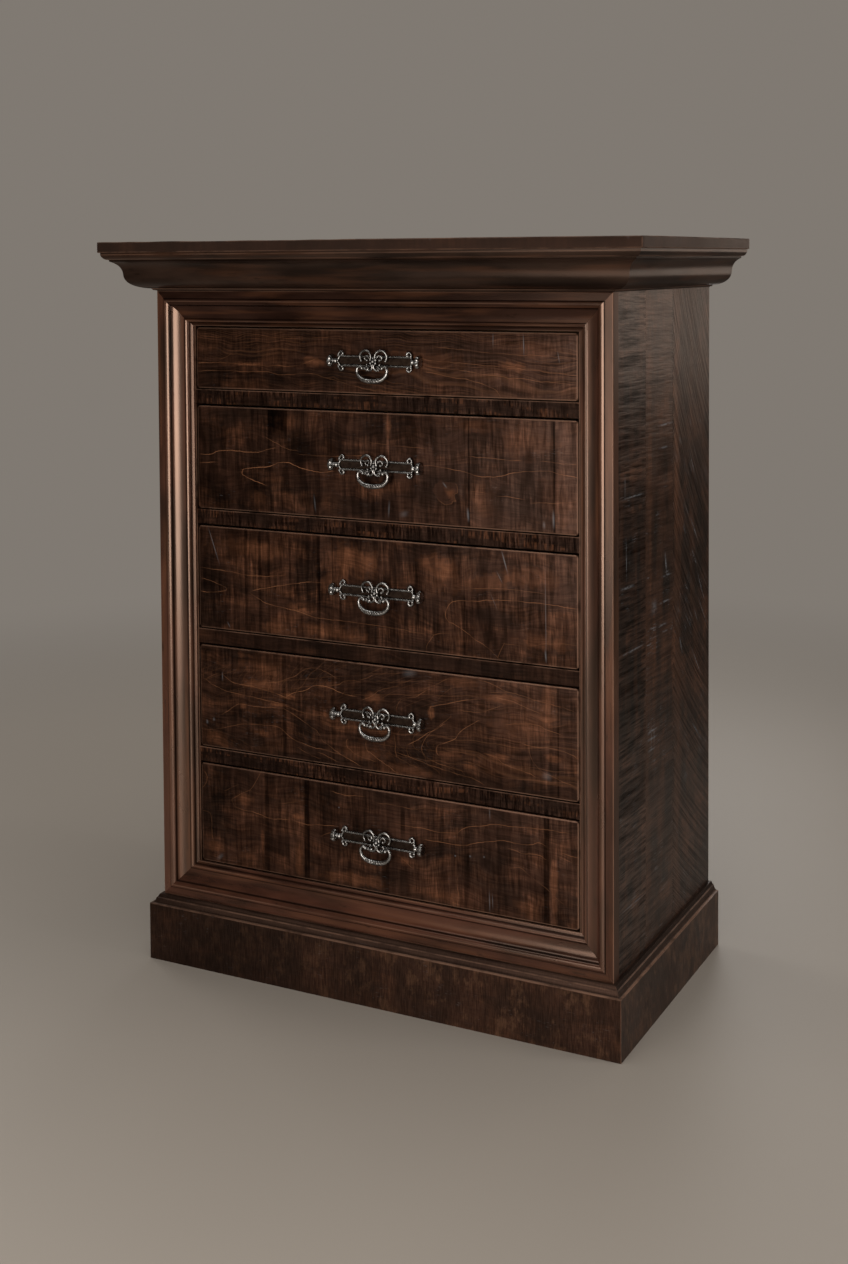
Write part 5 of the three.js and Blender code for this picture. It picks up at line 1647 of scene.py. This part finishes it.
def plate_bracket(shape, sign):
    root = BAR_HALF - BRACKET_REACH
    stops = []
    for out, up, thickness in BRACKET_SHARES:
        place = on_pull(sign * (root + out * BRACKET_REACH), up * BRACKET_HALF, TRIM_DEPTH)
        stops.append((*place, thickness * BRACKET_TUBE))
    rod(shape, stops)
    for out, up, radius in BRACKET_BEADS:
        place = on_pull(
            sign * (root + out * BRACKET_REACH), up * BRACKET_HALF, TRIM_DEPTH + 0.6 * BRACKET_TUBE
        )
        bead(shape, place, radius * BRACKET_TUBE)
    turned(
        shape, FINIAL_STOPS, on_pull(sign * FINIAL_ROOT, 0, FINIAL_OUT), Vector((sign, 0, 0)),
        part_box("pull_1_plate")[1][X] - FINIAL_ROOT, FINIAL_RADIUS, 48, FINIAL_FLUTES,
    )
    for vert in shape.verts:
        vert.co.y = min(vert.co.y, 0)


def plate_knot(shape):
    turned(shape, BOSS_STOPS, on_pull(0, 0, 0), OUTWARDS, BOSS_DEPTH, BOSS_RADIUS, 24)
    bead(shape, on_pull(0, 0, KNOT_DEPTH), EYE_RADIUS)
    for index in range(BEAD_COUNT):
        angle = math.tau * (index + 0.5) / BEAD_COUNT
        bead(
            shape, on_pull(BEAD_RING * math.cos(angle), BEAD_RING * math.sin(angle), KNOT_DEPTH - 0.001),
            BEAD_RADIUS
        )
    leaf_across, leaf_up, leaf_radius, leaf_length, leaf_tilt = LEAF
    for sign in SIGNS:
        for loop in LOOPS.values():
            stops = loop_stops(sign, *loop)
            rod(shape, stops)
            bead(shape, Vector(stops[-1][:3]) + OUTWARDS * 0.3 * SCROLL_TUBE, 1.15 * SCROLL_TUBE)
        bead(
            shape, on_pull(sign * leaf_across, leaf_up, KNOT_DEPTH), leaf_radius, leaf_length,
            sign * leaf_tilt
        )
        ear = on_pull(sign * EAR_INNER, -PIVOT_DROP, PIVOT_DEPTH)
        turned(shape, EAR_STOPS, ear, Vector((sign, 0, 0)), EAR_OUTER - EAR_INNER, EAR_RADIUS, 24)
        middle = sign * (EAR_INNER + EAR_OUTER) / 2
        foot, head = on_pull(middle, -0.5 * BAR_HEIGHT, 0.001), on_pull(
            middle, -PIVOT_DROP, PIVOT_DEPTH - 0.001
        )
        turned(
            shape, ((0, 1, 0), (1, 1, 0)), foot, (head - foot).normalized(), (head - foot).length,
            STRUT_RADIUS, 12, steps=0
        )


def plate_studs(shape, stud_length):
    """Threaded studs through the drawer front, each with its nut inside the drawer."""
    inwards = -OUTWARDS
    low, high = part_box("drawer_1_front")
    front_thickness = high[Y] - low[Y]
    plain = front_thickness + NUT_HEIGHT
    stops = [(0, 1, 0), (plain / stud_length, 1, 0)]
    for thread in range(2 * STUD_THREADS):
        share = plain + (stud_length - plain) * (thread + 1) / (2 * STUD_THREADS)
        stops.append((share / stud_length, 0.84 if thread % 2 else 1.0, 0))
    for sign in SIGNS:
        turned(
            shape, stops, Vector((sign * STUD_ACROSS, 0, 0)), inwards, stud_length, STUD_RADIUS, 14, steps=0
        )
        seat = Vector((sign * STUD_ACROSS, front_thickness, 0))
        turned(shape, NUT_STOPS, seat, inwards, NUT_HEIGHT, NUT_RADIUS, 6, steps=0)


def bail_chasing(share, turn):
    """Cast rope work round the lowest part of the bail."""
    shown = max(0.0, 1 - abs(share - 0.5) / CHASED_SHARE)
    return 1 + CHASED_DEPTH * min(1.0, 2 * shown) * math.cos(4 * turn + math.tau * CHASED_TURNS * share)


def make_pull_meshes():
    metals = [
        cast_metal("pull_metal", (0.15, 0.149, 0.147, 1), (0.37, 0.37, 0.366, 1), 0.19),
        cast_metal("pull_recess", (0.020, 0.013, 0.010, 1), (0.034, 0.023, 0.017, 1), 0.42),
    ]
    plate = bmesh.new()
    plate_bar(plate)
    for sign in SIGNS:
        plate_bracket(plate, sign)
    plate_knot(plate)
    plate_studs(plate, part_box("pull_1_plate")[1][Y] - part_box("drawer_1_front")[0][Y])

    bail = bmesh.new()
    half = [
        (across * BAIL_HALF_WIDTH, 0, up * BAIL_DROP, thickness * BAIL_RADIUS) for across, up,
        thickness in BAIL_STOPS
    ]
    left = [(-across, out, up, radius) for across, out, up, radius in half]
    rod(bail, [*left, *reversed(half[:-1])], sides=24, steps=9, chasing=bail_chasing)
    for sign in SIGNS:
        ball = Vector((sign * half[0][0], 0, 0))
        bead(bail, ball, BALL_RADIUS)
        pin = Vector((sign * (EAR_INNER + 0.0003), 0, 0))
        turned(
            bail, ((0, 1, 0), (1, 1, 0)), pin, Vector((sign, 0, 0)), half[0][0] - abs(pin.x), PIN_RADIUS,
            14, steps=0
        )
    return finished_mesh("pull_plate", plate, metals, 40), finished_mesh("pull_bail", bail, metals, 60)


def dress_drawers():
    plate, bail = make_pull_meshes()
    for number in DRAWERS:
        name = f"drawer_{number}"
        make_drawer_front(number)
        for side, _ in LEFT_RIGHT:
            paint(f"{name}_side_{side}", inner_wood(f"{name}_side_{side}", (Y, Z, X)))
        paint(f"{name}_back", inner_wood(f"{name}_back", (X, Z, Y)))
        paint(f"{name}_bottom", inner_wood(f"{name}_bottom", (X, Y, Z)))
        place = (0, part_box(f"{name}_front")[0][Y], PULL_HEIGHTS[number])
        add_piece(
            f"pull_{number}_plate_dressed", plate, name, (f"pull_{number}_plate",), place
        )
        bail_name = f"pull_{number}_bail"
        add_piece(
            f"{bail_name}_dressed", bail, f"bail_{number}", (bail_name,),
            PIVOTS[f"bail_{number}"]
        )


make_camera()
make_stage()
make_lamps()
dress_case()
dress_drawers()
